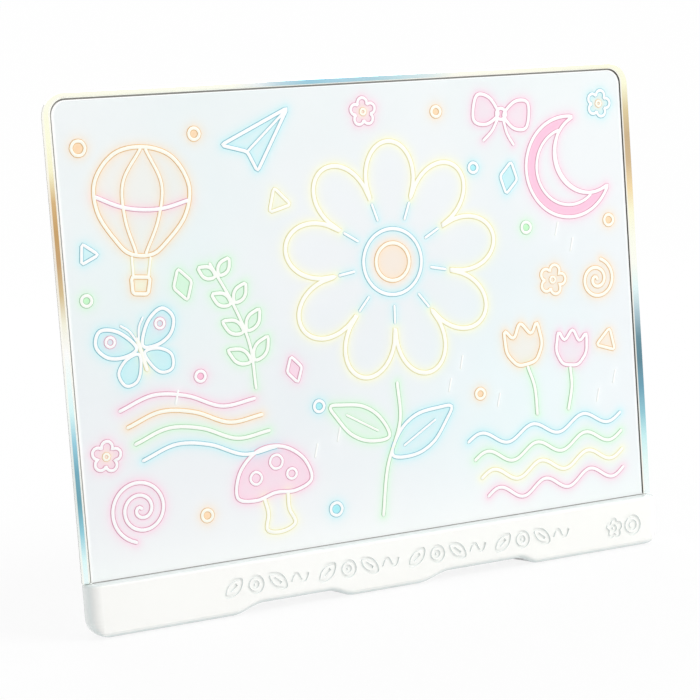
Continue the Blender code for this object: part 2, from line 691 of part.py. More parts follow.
def arch_cutter(arch):
    """The arch's space, right through the base, which rounds its edges in front and behind."""
    fillet = []
    for step in range(FILLET_STEPS + 1):
        turn = math.radians(90 * step / FILLET_STEPS)
        fillet.append((ARCH_EDGE_RADIUS * (1 - math.cos(turn)),
                       ARCH_EDGE_RADIUS * (1 - math.sin(turn))))
    sections = [arch_section(arch, ARCH_EDGE_RADIUS, BASE_FRONT - OVERRUN)]
    sections += [arch_section(arch, lift, BASE_FRONT + depth) for depth, lift in fillet]
    sections += [arch_section(arch, lift, BASE_REAR - depth) for depth, lift in reversed(fillet)]
    sections.append(arch_section(arch, ARCH_EDGE_RADIUS, BASE_REAR + OVERRUN))
    return loft("arch_cutter", sections)


def cover_screw_places():
    """Three screws along the front wall and three along the rear wall, as (x, y, 0)."""
    front = CAVITY_FRONT + BOSS_RADIUS + SEAT_GAP
    rear = CAVITY_REAR - BOSS_RADIUS - SEAT_GAP
    end = CAVITY_HALF - END_SCREW_INSET
    return [(-end, front, 0), (LEFT_ARCH[1] + LAND_SCREW_MARGIN, front, 0), (end, front, 0),
            (LEFT_SCREW, rear, 0), (RIGHT_ARCH[0] - LAND_SCREW_MARGIN, rear, 0),
            (RIGHT_ARCH[1] + LAND_SCREW_MARGIN, rear, 0)]


def cover_bosses():
    """Upright bosses for the cover screws, each with a web to its wall."""
    pieces = []
    low = COVER_TOP + SEAT_GAP
    for index, (x, y, _) in enumerate(cover_screw_places()):
        wall = CAVITY_FRONT - BASE_WALL / 2 if y < 0 else CAVITY_REAR + BASE_WALL / 2
        pieces.append(cylinder(f"boss_{index}", BOSS_RADIUS, (x, y, low), (x, y, BOSS_TOP)))
        web = ((x - BOSS_RADIUS / 2, x + BOSS_RADIUS / 2),
               (min(y, wall), max(y, wall)), (low, BOSS_TOP))
        pieces.append(span_box(f"boss_web_{index}", web))
    return pieces


def board_bosses():
    """Lying bosses on the rear wall that stand against the tongue."""
    boss = cylinder("board_boss", BOARD_BOSS_RADIUS, (0, TONGUE_REAR + SEAT_GAP, BOARD_SCREW_HEIGHT),
                    (0, BASE_REAR - BASE_WALL / 2, BOARD_SCREW_HEIGHT))
    return repeated("board_bosses", boss, board_screw_offsets())


def slot_cutters():
    """The slot in the ledge: wide for sheet and reflector, narrower for the tongue."""
    wide = SHEET_WIDTH / 2 + SEAT_GAP
    narrow = TONGUE_HALF + SEAT_GAP
    high = LEDGE_TOP + OVERRUN
    panel = span_box("panel_slot", ((-wide, wide),
                                    (SHEET_FRONT - LEDGE_SLOT_GAP, REFLECTOR_REAR + SEAT_GAP),
                                    (SHEET_BOTTOM - SEAT_GAP, high)))
    tongue = span_box("tongue_slot", ((-narrow, narrow), (SHEET_REAR, BACK_REAR + SEAT_GAP),
                                      (TONGUE_BOTTOM - SEAT_GAP, high)))
    return panel, tongue


def rear_openings():
    """Holes through the rear wall for the keys, the light pipe, the inlet and the screws."""
    behind = BASE_REAR + OVERRUN
    inside = CAVITY_REAR - OVERRUN
    holes = []
    for name, x in (("power", POWER_PLACE), ("mode", MODE_PLACE)):
        holes.append(cylinder(f"{name}_hole", KEY_RADIUS + SEAT_GAP,
                              (x, behind, KEY_HEIGHT), (x, inside, KEY_HEIGHT)))
    holes.append(cylinder("pipe_hole", LIGHT_PIPE_RADIUS + SEAT_GAP,
                          (CHARGE_LIGHT_PLACE, behind, KEY_HEIGHT),
                          (CHARGE_LIGHT_PLACE, inside, KEY_HEIGHT)))
    for name, margin, start in (("inlet_hole", SEAT_GAP, inside),
                                ("inlet_flare", USB_FLARE_MARGIN, BASE_REAR - USB_FLARE_DEPTH)):
        outline = rounded_rectangle(USB_WIDTH / 2 + margin, USB_HEIGHT / 2 + margin,
                                    USB_CORNER_RADIUS + margin)
        outline = [(x + USB_PLACE, z + USB_CENTRE_HEIGHT) for x, z in outline]
        holes.append(loft(name, [standing(outline, start), standing(outline, behind)]))
    sink = cylinder("board_screw_sink", SCREW_HEAD_RADIUS + SEAT_GAP,
                    (0, behind, BOARD_SCREW_HEIGHT),
                    (0, BASE_REAR - BOARD_SCREW_SINK, BOARD_SCREW_HEIGHT))
    holes.append(repeated("board_screw_sinks", sink, board_screw_offsets()))
    return holes


def cover_screw_holes(name, radius, low, high):
    """Upright bores at the cover screws."""
    hole = cylinder("cover_screw_hole", radius, (0, 0, low), (0, 0, high), segments=SCREW_SEGMENTS)
    return repeated(name, hole, cover_screw_places())


def cavity_prism(name, clearance, top):
    """The space inside the base, less a clearance, from under the base up to a height."""
    return loft(name, [base_plan(CAVITY_END_MARGIN + clearance, BASE_WALL + clearance, z)
                       for z in (BASE_BOTTOM - OVERRUN, top)])


def base_housing():
    """A hollow moulding, open below, with the slot above and its bosses inside."""
    made = loft("base_housing", base_rings(), GLOSS_WHITE)
    cut(made, cavity_prism("cavity", 0, CAVITY_TOP))
    join(made, *cover_bosses(), board_bosses())
    cut(made, *slot_cutters(), arch_cutter(LEFT_ARCH), arch_cutter(RIGHT_ARCH))
    cut(made, *rear_openings(), board_screw_holes("housing_screw_bores", BASE_REAR))
    bore_low = BASE_BOTTOM - OVERRUN
    bore_high = COVER_SCREW_SEAT + COVER_SCREW_LENGTH + SEAT_GAP
    cut(made, cover_screw_holes("boss_bores", SCREW_RADIUS + SEAT_GAP, bore_low, bore_high))
    smooth(made)


def cover_outline():
    """The bottom cover from the front: a plate of even thickness that rises over each arch."""
    lower = [(-CAVITY_HALF, BASE_BOTTOM)]
    upper = [(-CAVITY_HALF, COVER_TOP)]
    for arch in (LEFT_ARCH, RIGHT_ARCH):
        lower += arch_line(arch, 0)
        upper += arch_line(arch, COVER_THICKNESS)
    lower.append((CAVITY_HALF, BASE_BOTTOM))
    upper.append((CAVITY_HALF, COVER_TOP))
    return lower + upper[::-1]


def foot_outline(span, margin):
    """A foot's rounded outline at its place, grown by a margin."""
    middle = (span[0] + span[1]) / 2
    half = (span[1] - span[0]) / 2
    outline = rounded_rectangle(half + margin, CAVITY_HALF_DEPTH - FOOT_SIDE_MARGIN + margin,
                                FOOT_CORNER_RADIUS + margin)
    return [(x + middle, y + BASE_MIDDLE) for x, y in outline]


def foot_pocket(name, span):
    outline = foot_outline(span, SEAT_GAP)
    low = BASE_BOTTOM - OVERRUN
    high = BASE_BOTTOM + FOOT_POCKET_DEPTH
    return loft(f"foot_pocket_{name}", [[(x, y, z) for x, y in outline] for z in (low, high)])


def saddles():
    """Narrow walls that carry the channel: on the lands and over the middle of each arch."""
    saddle = span_box("saddle", ((-SADDLE_WIDTH / 2, SADDLE_WIDTH / 2),
                                 (CHANNEL_FRONT, CHANNEL_REAR),
                                 (BASE_BOTTOM + COVER_THICKNESS / 2, CHANNEL_BOTTOM - SEAT_GAP)))
    places = [LEFT_SCREW, sum(LEFT_ARCH) / 2, (LEFT_ARCH[1] + RIGHT_ARCH[0]) / 2,
              sum(RIGHT_ARCH) / 2, BOARD_RIGHT + SADDLE_TO_BOARD]
    return repeated("saddles", saddle, [(x, 0, 0) for x in places])


def base_bottom_cover():
    """The cover with its foot pockets, screw holes, channel saddles and board posts."""
    outline = cover_outline()
    made = loft("base_bottom_cover", [standing(outline, BASE_FRONT), standing(outline, BASE_REAR)],
                MATTE_WHITE)
    combine(made, cavity_prism("cover_trim", SEAT_GAP, CHANNEL_BOTTOM), "INTERSECT")
    join(made, saddles(), board_posts())
    cut(made, arch_cutter(LEFT_ARCH), arch_cutter(RIGHT_ARCH))
    for name, span in FEET.items():
        cut(made, foot_pocket(name, span))
    below = BASE_BOTTOM - OVERRUN
    above = BOARD_BOTTOM + OVERRUN
    cut(made, cover_screw_holes("cover_bores", SCREW_RADIUS + SEAT_GAP, below, above))
    cut(made, cover_screw_holes("cover_sinks", SCREW_HEAD_RADIUS + SEAT_GAP, below,
                                BASE_BOTTOM + COVER_SCREW_SINK))
    cut(made, board_screw_bores("post_bores"))
    smooth(made)


def board_post_places():
    return [(BOARD_LEFT + BOARD_POST_INSET, BOARD_ROW, 0),
            (BOARD_RIGHT - BOARD_POST_INSET, BOARD_ROW, 0)]


def board_posts():
    post = cylinder("board_post", BOARD_POST_RADIUS, (0, 0, BASE_BOTTOM + COVER_THICKNESS / 2),
                    (0, 0, BOARD_BOTTOM - SEAT_GAP))
    return repeated("board_posts", post, board_post_places())


def board_screw_bores(name):
    """Bores at the main board's two screws, for the board and for its posts."""
    bore = cylinder("main_board_bore", SCREW_RADIUS + SEAT_GAP, (0, 0, COVER_TOP - SEAT_GAP),
                    (0, 0, BOARD_TOP + OVERRUN), segments=SCREW_SEGMENTS)
    return repeated(name, bore, board_post_places())


def feet():
    """Three thin pads, one on each land."""
    for name, span in FEET.items():
        outline = foot_outline(span, 0)
        loft(f"rubber_foot_{name}", [[(x, y, z) for x, y in outline]
                                     for z in (0, FOOT_THICKNESS)], GREY_RUBBER)


def screw_profile(length):
    """A pan head over a plain shank, from the head down to the tip."""
    head = SCREW_HEAD_RADIUS
    soft = SCREW_HEAD_HEIGHT / 2
    return [(0, SCREW_HEAD_HEIGHT), (head - soft, SCREW_HEAD_HEIGHT), (head, soft), (head, 0),
            (SCREW_RADIUS, 0), (SCREW_RADIUS, -length + SCREW_RADIUS), (0, -length)]


def screw(name, length, place, axis):
    """One screw, its head's underside at the place and its head along the axis."""
    smooth(turned(name, screw_profile(length), place, axis, STEEL, SCREW_SEGMENTS))


def screws():
    """Cover screws from below, board screws from behind, circuit board screws from above."""
    for index, (x, y, _) in enumerate(cover_screw_places()):
        screw(f"cover_screw_{index + 1}", COVER_SCREW_LENGTH, (x, y, COVER_SCREW_SEAT),
              (0, 0, -1))

    seat = BASE_REAR - BOARD_SCREW_SINK + SEAT_GAP
    length = seat - TONGUE_REAR + BOARD_SCREW_BITE
    for index, (x, _, _) in enumerate(board_screw_offsets()):
        screw(f"board_screw_{index + 1}", length, (x, seat, BOARD_SCREW_HEIGHT), (0, 1, 0))

    seat = BOARD_TOP + SEAT_GAP
    for index, (x, y, _) in enumerate(board_post_places()):
        screw(f"main_board_screw_{index + 1}", PCB_SCREW_LENGTH, (x, y, seat), (0, 0, 1))


# The light

def led_channel():
    """A U-shaped channel under the sheet, with a hole in its floor for the two leads."""
    section = [
        (CHANNEL_FRONT, CHANNEL_BOTTOM), (CHANNEL_REAR, CHANNEL_BOTTOM),
        (CHANNEL_REAR, CAVITY_TOP - SEAT_GAP), (CHANNEL_INNER_REAR, CAVITY_TOP - SEAT_GAP),
        (CHANNEL_INNER_REAR, CHANNEL_FLOOR_TOP), (CHANNEL_INNER_FRONT, CHANNEL_FLOOR_TOP),
        (CHANNEL_INNER_FRONT, CAVITY_TOP - SEAT_GAP), (CHANNEL_FRONT, CAVITY_TOP - SEAT_GAP),
    ]
    made = loft("led_channel", [[(x, y, z) for y, z in section]
                                for x in (-CHANNEL_HALF, CHANNEL_HALF)], MATTE_WHITE)
    across = LEAD_SPACING / 2 + LEAD_RADIUS + LED_LEAD_HOLE_MARGIN
    along = LEAD_RADIUS + LED_LEAD_HOLE_MARGIN
    hole = span_box("lead_hole", ((LED_LEAD_PLACE - across, LED_LEAD_PLACE + across),
                                  (CHANNEL_MIDDLE - along, CHANNEL_MIDDLE + along),
                                  (CHANNEL_BOTTOM - OVERRUN, CHANNEL_FLOOR_TOP + OVERRUN)))
    cut(made, hole)


def led_strip():
    """The narrow board with its row of lamps, which shine up into the sheet's edge."""
    inner = (CHANNEL_INNER_FRONT + SOLDER_GAP, CHANNEL_INNER_REAR - SOLDER_GAP)
    made = span_box("led_strip", ((-STRIP_HALF, STRIP_HALF), inner,
                                  (STRIP_BOTTOM, STRIP_BOTTOM + STRIP_THICKNESS)), STRIP_WHITE)
    low = STRIP_BOTTOM + STRIP_THICKNESS / 2
    high = STRIP_BOTTOM + STRIP_THICKNESS + LED_HEIGHT
    lamp = box("edge_led", (LED_LENGTH, LED_WIDTH, high - low),
               (0, CHANNEL_MIDDLE, (low + high) / 2))
    gaps = int(2 * (STRIP_HALF - LED_END_MARGIN) / LED_PITCH)
    join(made, repeated("edge_leds", lamp,
                        [(LED_PITCH * (step - gaps / 2), 0, 0) for step in range(gaps + 1)]))


# The electronics

def main_board():
    """The board, which ends clear of the keys' flanges at full travel, and two pieces on it."""
    made = span_box("main_board", ((BOARD_LEFT, BOARD_RIGHT), (BOARD_FRONT, BOARD_REAR),
                                   (BOARD_BOTTOM, BOARD_TOP)), BOARD_GREEN)
    cut(made, board_screw_bores("board_bores"))
    box("controller_chip", CHIP_SIZE,
        (BOARD_LEFT + CHIP_INSET, BOARD_ROW, SOLDERED_BOTTOM + CHIP_SIZE[2] / 2), CHIP_BLACK)
    box("battery_connector", CONNECTOR_SIZE,
        (BOARD_LEFT + CONNECTOR_INSET, LEAD_ROW - LEAD_SPACING / 2,
         SOLDERED_BOTTOM + CONNECTOR_SIZE[2] / 2), CONNECTOR_CREAM)


def usb_outline(shrink):
    """The inlet's rounded outline, drawn in by a wall."""
    outline = rounded_rectangle(USB_WIDTH / 2 - shrink, USB_HEIGHT / 2 - shrink,
                                USB_CORNER_RADIUS - shrink)
    return [(x + USB_PLACE, z + USB_CENTRE_HEIGHT) for x, z in outline]


def usb_c_socket():
    """A drawn shell, open to the back, with the contact tongue inside."""
    mouth = BASE_REAR - USB_RECESS
    end = mouth - USB_LENGTH
    floor = end + USB_SHELL
    made = loft("usb_c_socket", [standing(usb_outline(0), end), standing(usb_outline(0), mouth),
                                 standing(usb_outline(USB_SHELL), mouth),
                                 standing(usb_outline(USB_SHELL), floor)], STEEL)
    half = USB_TONGUE_WIDTH / 2
    thick = USB_TONGUE_HEIGHT / 2
    tongue = span_box("usb_tongue", ((USB_PLACE - half, USB_PLACE + half),
                                     (floor - USB_SHELL / 2, floor + USB_TONGUE_LENGTH),
                                     (USB_CENTRE_HEIGHT - thick, USB_CENTRE_HEIGHT + thick)))
    join(made, tongue)
    smooth(made)


def charge_light():
    """A small lamp on the board and the clear rod that carries it to the back."""
    start = CAVITY_REAR - LIGHT_PIPE_INSIDE
    lamp_middle = start - SEAT_GAP - CHARGE_LED_SIZE / 2
    height = KEY_HEIGHT - SOLDERED_BOTTOM + CHARGE_LED_SIZE / 2
    box("charge_led", (CHARGE_LED_SIZE, CHARGE_LED_SIZE, height),
        (CHARGE_LIGHT_PLACE, lamp_middle, SOLDERED_BOTTOM + height / 2), CHARGE_GREEN)
    smooth(cylinder("charge_light_pipe", LIGHT_PIPE_RADIUS,
                    (CHARGE_LIGHT_PLACE, start, KEY_HEIGHT),
                    (CHARGE_LIGHT_PLACE, BASE_REAR, KEY_HEIGHT), CLEAR_PIPE))


def key_set(name, x):
    """A round key, the switch's plunger that it presses, and the switch on the board."""
    flange_rear = CAVITY_REAR - SEAT_GAP
    flange_front = flange_rear - KEY_FLANGE_THICKNESS
    stem_front = flange_front - KEY_STEM_LENGTH
    plunger_rear = stem_front - SOLDER_GAP
    switch_rear = plunger_rear - PLUNGER_PROUD
    switch_front = switch_rear - SWITCH_LENGTH

    face = BASE_REAR + KEY_PROUD
    soft = KEY_EDGE_RADIUS
    profile = [(0, face), (KEY_RADIUS - soft, face),
               (KEY_RADIUS - soft * (1 - math.sqrt(0.5)), face - soft * (1 - math.sqrt(0.5))),
               (KEY_RADIUS, face - soft), (KEY_RADIUS, flange_rear),
               (KEY_FLANGE_RADIUS, flange_rear), (KEY_FLANGE_RADIUS, flange_front),
               (KEY_STEM_RADIUS, flange_front), (KEY_STEM_RADIUS, stem_front), (0, stem_front)]
    profile = [(radius, height - face) for radius, height in profile]
    smooth(turned(f"{name}_button", profile, (x, face, KEY_HEIGHT), (0, 1, 0), GLOSS_WHITE))

    smooth(cylinder(f"{name}_switch_plunger", PLUNGER_RADIUS,
                    (x, plunger_rear, KEY_HEIGHT),
                    (x, switch_rear - PLUNGER_DEPTH, KEY_HEIGHT), CHIP_BLACK,
                    segments=SCREW_SEGMENTS))

    switch = box(f"{name}_switch", (SWITCH_WIDTH, SWITCH_LENGTH, SWITCH_HEIGHT),
                 (x, (switch_rear + switch_front) / 2, KEY_HEIGHT), STEEL)
    room = PLUNGER_DEPTH + KEY_TRAVEL + SEAT_GAP
    bore = cylinder(f"{name}_plunger_bore", PLUNGER_RADIUS + SEAT_GAP,
                    (x, switch_rear + OVERRUN, KEY_HEIGHT), (x, switch_rear - room, KEY_HEIGHT),
                    segments=SCREW_SEGMENTS)
    cut(switch, bore)


def cell():
    """The flat cell on its foam pad, over the left land."""
    left, right = CELL_SPAN
    front = CAVITY_FRONT + CELL_SIDE_MARGIN
    rear = CAVITY_REAR - CELL_SIDE_MARGIN
    span_box("battery_pad", ((left + PAD_MARGIN, right - PAD_MARGIN),
                             (front + PAD_MARGIN, rear - PAD_MARGIN),
                             (PAD_BOTTOM, PAD_BOTTOM + PAD_THICKNESS)), FOAM)
    span_box("battery_cell", ((left, right), (front, rear),
                              (CELL_BOTTOM, CELL_BOTTOM + CELL_HEIGHT)),
             CELL_SILVER, edge_radius=CELL_EDGE_SHARE * CELL_HEIGHT)


def lead(name, points, finish):
    """A wire: a smooth curve through its points, with a round section and closed ends."""
    curve = bpy.data.curves.new(name, "CURVE")
    curve.dimensions = "3D"
    curve.bevel_depth = LEAD_RADIUS
    curve.bevel_resolution = 2
    curve.use_fill_caps = True
    spline = curve.splines.new("POLY")
    spline.points.add(len(points) - 1)
    for point, place in zip(spline.points, points):
        point.co = (*place, 1.0)
    return new_object(name, curve, finish)


def battery_leads():
    """Two wires from the cell to the connector, over both arches."""
    start = CELL_SPAN[1] + SEAT_GAP
    end = BOARD_LEFT + CONNECTOR_INSET - CONNECTOR_SIZE[0] / 2 - SEAT_GAP
    steps = 16
    for offset, name, finish in ((0, "battery_lead_red", LEAD_RED),
                                 (LEAD_SPACING, "battery_lead_black", LEAD_BLACK)):
        points = []
        for step in range(steps + 1):
            share = step / steps
            sag = LEAD_SAG * math.sin(math.pi * share)
            points.append((start + (end - start) * share, LEAD_ROW - offset, LEAD_HEIGHT - sag))
        lead(name, points, finish)


def led_leads():
    """Two short wires from the main board up through the channel's floor to the strip."""
    low = BOARD_TOP + SOLDER_GAP
    high = STRIP_BOTTOM - SOLDER_GAP
    for side, name in ((-1, "led_lead_left"), (1, "led_lead_right")):
        x = LED_LEAD_PLACE + side * LEAD_SPACING / 2
        smooth(cylinder(name, LEAD_RADIUS, (x, CHANNEL_MIDDLE, low), (x, CHANNEL_MIDDLE, high),
                        LEAD_BLACK if side < 0 else LEAD_RED, SCREW_SEGMENTS))


def build():
    chrome_frame()
    writing_panel()
    panel_gasket()
    reflector_sheet()
    back_cover()
    base_housing()
    base_bottom_cover()
    feet()
    screws()
    led_channel()
    led_strip()
    main_board()
    usb_c_socket()
    charge_light()
    key_set("power", POWER_PLACE)
    key_set("mode", MODE_PLACE)
    cell()
    battery_leads()
    led_leads()


build()
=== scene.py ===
"""The looks of the LED writing board: camera, light, finishes, ink on the sheet and carved marks.

Lengths are in metres, in the CAD model's own frame. Doodles are laid out on the sheet in
millimetres, across from its middle and up from the ledge. A colour of three parts is as a screen
shows it, in steps of 0 to 255, and one of four parts is in linear light with alpha.
"""
import json
import math

import bmesh
import bpy
import numpy as np
from mathutils import Matrix, Vector


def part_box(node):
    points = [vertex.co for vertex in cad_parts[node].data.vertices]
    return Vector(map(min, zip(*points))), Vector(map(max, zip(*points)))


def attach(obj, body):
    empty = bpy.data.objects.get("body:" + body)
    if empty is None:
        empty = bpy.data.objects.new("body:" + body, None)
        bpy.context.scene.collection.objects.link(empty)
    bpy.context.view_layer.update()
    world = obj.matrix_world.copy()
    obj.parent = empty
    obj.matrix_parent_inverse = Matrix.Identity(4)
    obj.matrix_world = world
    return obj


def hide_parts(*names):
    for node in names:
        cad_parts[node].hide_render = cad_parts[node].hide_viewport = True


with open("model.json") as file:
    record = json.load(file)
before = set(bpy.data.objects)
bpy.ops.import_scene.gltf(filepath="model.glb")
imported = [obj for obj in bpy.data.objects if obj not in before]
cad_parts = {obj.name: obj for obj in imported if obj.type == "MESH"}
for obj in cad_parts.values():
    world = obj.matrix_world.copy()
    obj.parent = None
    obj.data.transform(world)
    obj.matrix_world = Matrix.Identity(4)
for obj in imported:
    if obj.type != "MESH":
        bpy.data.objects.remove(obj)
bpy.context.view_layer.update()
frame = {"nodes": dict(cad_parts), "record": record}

MM = 0.001
BOARD = "board"
NODES = frame["nodes"]
SLOTS = {part["node"]: part["material_slot"] for part in frame["record"]["subparts"]}

# Places read from the CAD model
SHEET_LOW, SHEET_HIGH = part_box("writing_panel")
BASE_LOW, BASE_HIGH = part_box("base_housing")
SHEET_FRONT, SHEET_REAR = SHEET_LOW.y, SHEET_HIGH.y
SHEET_HALF, SHEET_TOP = SHEET_HIGH.x, SHEET_HIGH.z
LEDGE_TOP = BASE_HIGH.z
FRAME_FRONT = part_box("chrome_frame")[0].y

# The sheet's corners and edges, and the frame's inner line
SHEET_RADIUS = 6.6 * MM
SHEET_CHAMFER = 0.25 * MM
INNER_HALF = 145.25 * MM
INNER_TOP = 232.45 * MM
INNER_RADIUS = 7.05 * MM


def linear(colour):
    """A screen colour in linear light, with alpha."""
    shares = [c / 255 for c in colour]
    return (*(c / 12.92 if c <= 0.04045 else ((c + 0.055) / 1.055) ** 2.4 for c in shares), 1.0)


def link(name, data):
    """A new object in the scene."""
    made = bpy.data.objects.new(name, data)
    bpy.context.scene.collection.objects.link(made)
    return made


# Camera and light

def aim(thing, place, forward, up):
    """Stand a camera or lamp at a place, looking along one direction with another one up."""
    back = -Vector(forward).normalized()
    side = Vector(up).cross(back).normalized()
    turn = Matrix((side, back.cross(side), back)).transposed()
    thing.matrix_world = Matrix.Translation(Vector(place)) @ turn.to_4x4()


def make_camera(focal=2167, width=700, axis_row=400):
    """A camera by its numbers in pixels, with the row of the picture that its axis meets."""
    data = bpy.data.cameras.new("camera")
    data.sensor_width = 36.0
    data.lens = data.sensor_width * focal / width
    data.shift_y = (axis_row - width / 2) / width
    data.clip_start = 0.05
    data.clip_end = 50.0
    camera = link("camera", data)
    aim(camera, (-0.4598, -0.8835, 0.1994), (0.4512, 0.8855, -0.1114), (0.1146, 0.0663, 0.9912))
    bpy.context.scene.camera = camera


def make_lamp(name, place, power, size=1.4, middle=(0, 0, 0.11)):
    """A square soft lamp aimed at the middle of the board."""
    data = bpy.data.lights.new(name, "AREA")
    data.size = size
    data.energy = power
    aim(link(name, data), place, Vector(middle) - Vector(place), (0, 0, 1))


class Graph:
    """A node tree that is built up one node at a time."""

    def __init__(self, tree):
        self.tree = tree

    def node(self, kind, values=(), **settings):
        """A node with its inputs set from values or linked from sockets."""
        made = self.tree.nodes.new(kind)
        for name, value in settings.items():
            setattr(made, name, value)
        for key, value in dict(values).items():
            self.feed(made.inputs[key], value)
        return made

    def feed(self, socket, value):
        if isinstance(value, bpy.types.NodeSocket):
            self.tree.links.new(value, socket)
        elif socket.type == "RGBA" and len(value) == 3:
            socket.default_value = linear(value)
        else:
            socket.default_value = value

    def math(self, operation, *values):
        return self.node("ShaderNodeMath", enumerate(values), operation=operation).outputs[0]

    def times(self, *values):
        return self.math("MULTIPLY", *values)

    def span(self, value, low, high, to=(0.0, 1.0), kind="SMOOTHSTEP"):
        """From one level at the low end to another at the high end."""
        return self.node("ShaderNodeMapRange", {"Value": value, "From Min": low, "From Max": high,
                                                "To Min": to[0], "To Max": to[1]},
                         interpolation_type=kind).outputs["Result"]

    def seen(self):
        """1 for rays that come from the camera, a mirror or glass, and 0 for those that light."""
        rays = self.node("ShaderNodeLightPath").outputs
        eye = self.math("MAXIMUM", rays["Is Camera Ray"], rays["Is Glossy Ray"])
        return self.math("MAXIMUM", eye, rays["Is Transmission Ray"])


def make_world(fill):
    """White where it is seen, and a lower even light on the object."""
    world = bpy.data.worlds.new("studio")
    bpy.context.scene.world = world
    world.use_nodes = True
    made = Graph(world.node_tree)
    ground = made.tree.nodes["Background"].inputs
    made.feed(ground["Color"], (1, 1, 1, 1))
    made.feed(ground["Strength"], made.span(made.seen(), 0.0, 1.0, (fill, 1.0), "LINEAR"))


# Finishes

class Finish(Graph):
    """A Principled material, patterned by the object's own place."""

    def __init__(self, name, roughness=0.5, metallic=0.0, coat=0.0):
        self.material = bpy.data.materials.new(name)
        self.material.use_nodes = True
        super().__init__(self.material.node_tree)
        self.shader = self.tree.nodes["Principled BSDF"]
        self.put("Roughness", roughness).put("Metallic", metallic)
        self.put("Coat Weight", coat).put("Coat Roughness", 0.05)
        self.place = self.node("ShaderNodeTexCoord").outputs["Object"]

    def put(self, name, value):
        """Set or link one of the shader's own sockets."""
        self.feed(self.shader.inputs[name], value)
        return self

    def axis(self, letter):
        return self.node("ShaderNodeSeparateXYZ", {0: self.place}).outputs[letter]

    def rest(self, share):
        """What a share leaves of 1."""
        return self.math("SUBTRACT", 1.0, share)

    def mix(self, share, first, second, blend="MIX"):
        return self.node("ShaderNodeMix", {0: share, 6: first, 7: second}, data_type="RGBA",
                         blend_type=blend).outputs[2]

    def dyed(self, colour, dye):
        return self.mix(1.0, colour, dye, "MULTIPLY")

    def along(self, value, stops):
        """Colours by place: stops of a place in mm and a screen colour."""
        low, high = stops[0][0], stops[-1][0]
        share = self.span(value, low * MM, high * MM, kind="LINEAR")
        made = self.node("ShaderNodeValToRGB", {0: share})
        elements = made.color_ramp.elements
        while len(elements) < len(stops):
            elements.new(1.0)
        for element, (at, *colour) in zip(elements, stops):
            element.position = (at - low) / (high - low)
            element.color = linear(colour)
        return made.outputs["Color"]

    def noise(self, scale, detail=2.0, roughness=0.5):
        """Soft noise at a number of grains to the metre."""
        values = {"Vector": self.place, "Scale": scale, "Detail": detail, "Roughness": roughness}
        return self.node("ShaderNodeTexNoise", values).outputs["Fac"]

    def patches(self, low, high, *kind):
        """Noise drawn out into patches between two of its levels."""
        return self.span(self.noise(*kind), low, high)

    def bump(self, height, distance):
        """Relief: distance is how high the height of 1 stands, in mm."""
        made = self.node("ShaderNodeBump", {"Height": height, "Distance": distance * MM})
        return self.put("Normal", made.outputs["Normal"])

    def grain(self, distance, *kind):
        """A fine raised grain, so high in mm."""
        return self.bump(self.noise(*kind), distance)

    def uneven(self, low, rise, *kind):
        """Roughness that wanders up from a level."""
        return self.put("Roughness", self.math("MULTIPLY_ADD", self.noise(*kind), rise, low))

    def tinted(self, colour, change, share):
        """The colour, with a share of another one."""
        return self.put("Base Color", self.mix(share, colour, change))

    def lit(self, colour, strength):
        return self.put("Emission Color", colour).put("Emission Strength", strength)

    def glowing(self, colour, strength):
        """A surface that shows its colour and gives off a part of it as light."""
        self.put("Base Color", self.dyed(colour, (0.86, 0.86, 0.86, 1)))
        return self.lit(colour, strength)

    def beyond(self, half, top, radius):
        """How far out a place lies from a line with straight sides and round top corners."""
        out = self.math("SUBTRACT", self.math("ABSOLUTE", self.axis("X")), half - radius)
        rise = self.math("SUBTRACT", self.axis("Z"), top - radius)
        corner = self.node("ShaderNodeCombineXYZ", {"X": self.math("MAXIMUM", out, 0.0),
                                                    "Y": self.math("MAXIMUM", rise, 0.0)})
        length = self.node("ShaderNodeVectorMath", {0: corner.outputs[0]}, operation="LENGTH")
        return self.math("SUBTRACT", length.outputs["Value"], radius)


def make_floor(reach=6.0, back=2.2, bend=1.5):
    """A pale floor that sweeps up behind, nearly white to the eye, with a trace of shadow."""
    profile = [(-reach, 0.0), (back, 0.0), *arc((back, bend), bend, -90, 0, 12)[1:],
               (back + bend, reach)]
    verts = [(x, y, z) for y, z in profile for x in (-reach, reach)]
    faces = [(2 * i, 2 * i + 1, 2 * i + 3, 2 * i + 2) for i in range(len(profile) - 1)]
    mesh = bpy.data.meshes.new("floor")
    mesh.from_pydata(verts, [], faces)
    mesh.shade_smooth()
    made = Finish("floor", roughness=0.9).put("Specular IOR Level", 0.0)
    made.put("Base Color", (252, 252, 252))
    away = made.node("ShaderNodeVectorMath", {0: made.place}, operation="LENGTH")
    white = made.span(away.outputs["Value"], 0.1, 0.5, (0.87, 0.985))
    glow = made.node("ShaderNodeEmission")
    surface = made.node("ShaderNodeMixShader", {0: made.times(made.seen(), white),
                                                1: made.shader.outputs[0], 2: glow.outputs[0]})
    made.feed(made.tree.nodes["Material Output"].inputs["Surface"], surface.outputs[0])
    floor = link("floor", mesh)
    paint(floor, made)


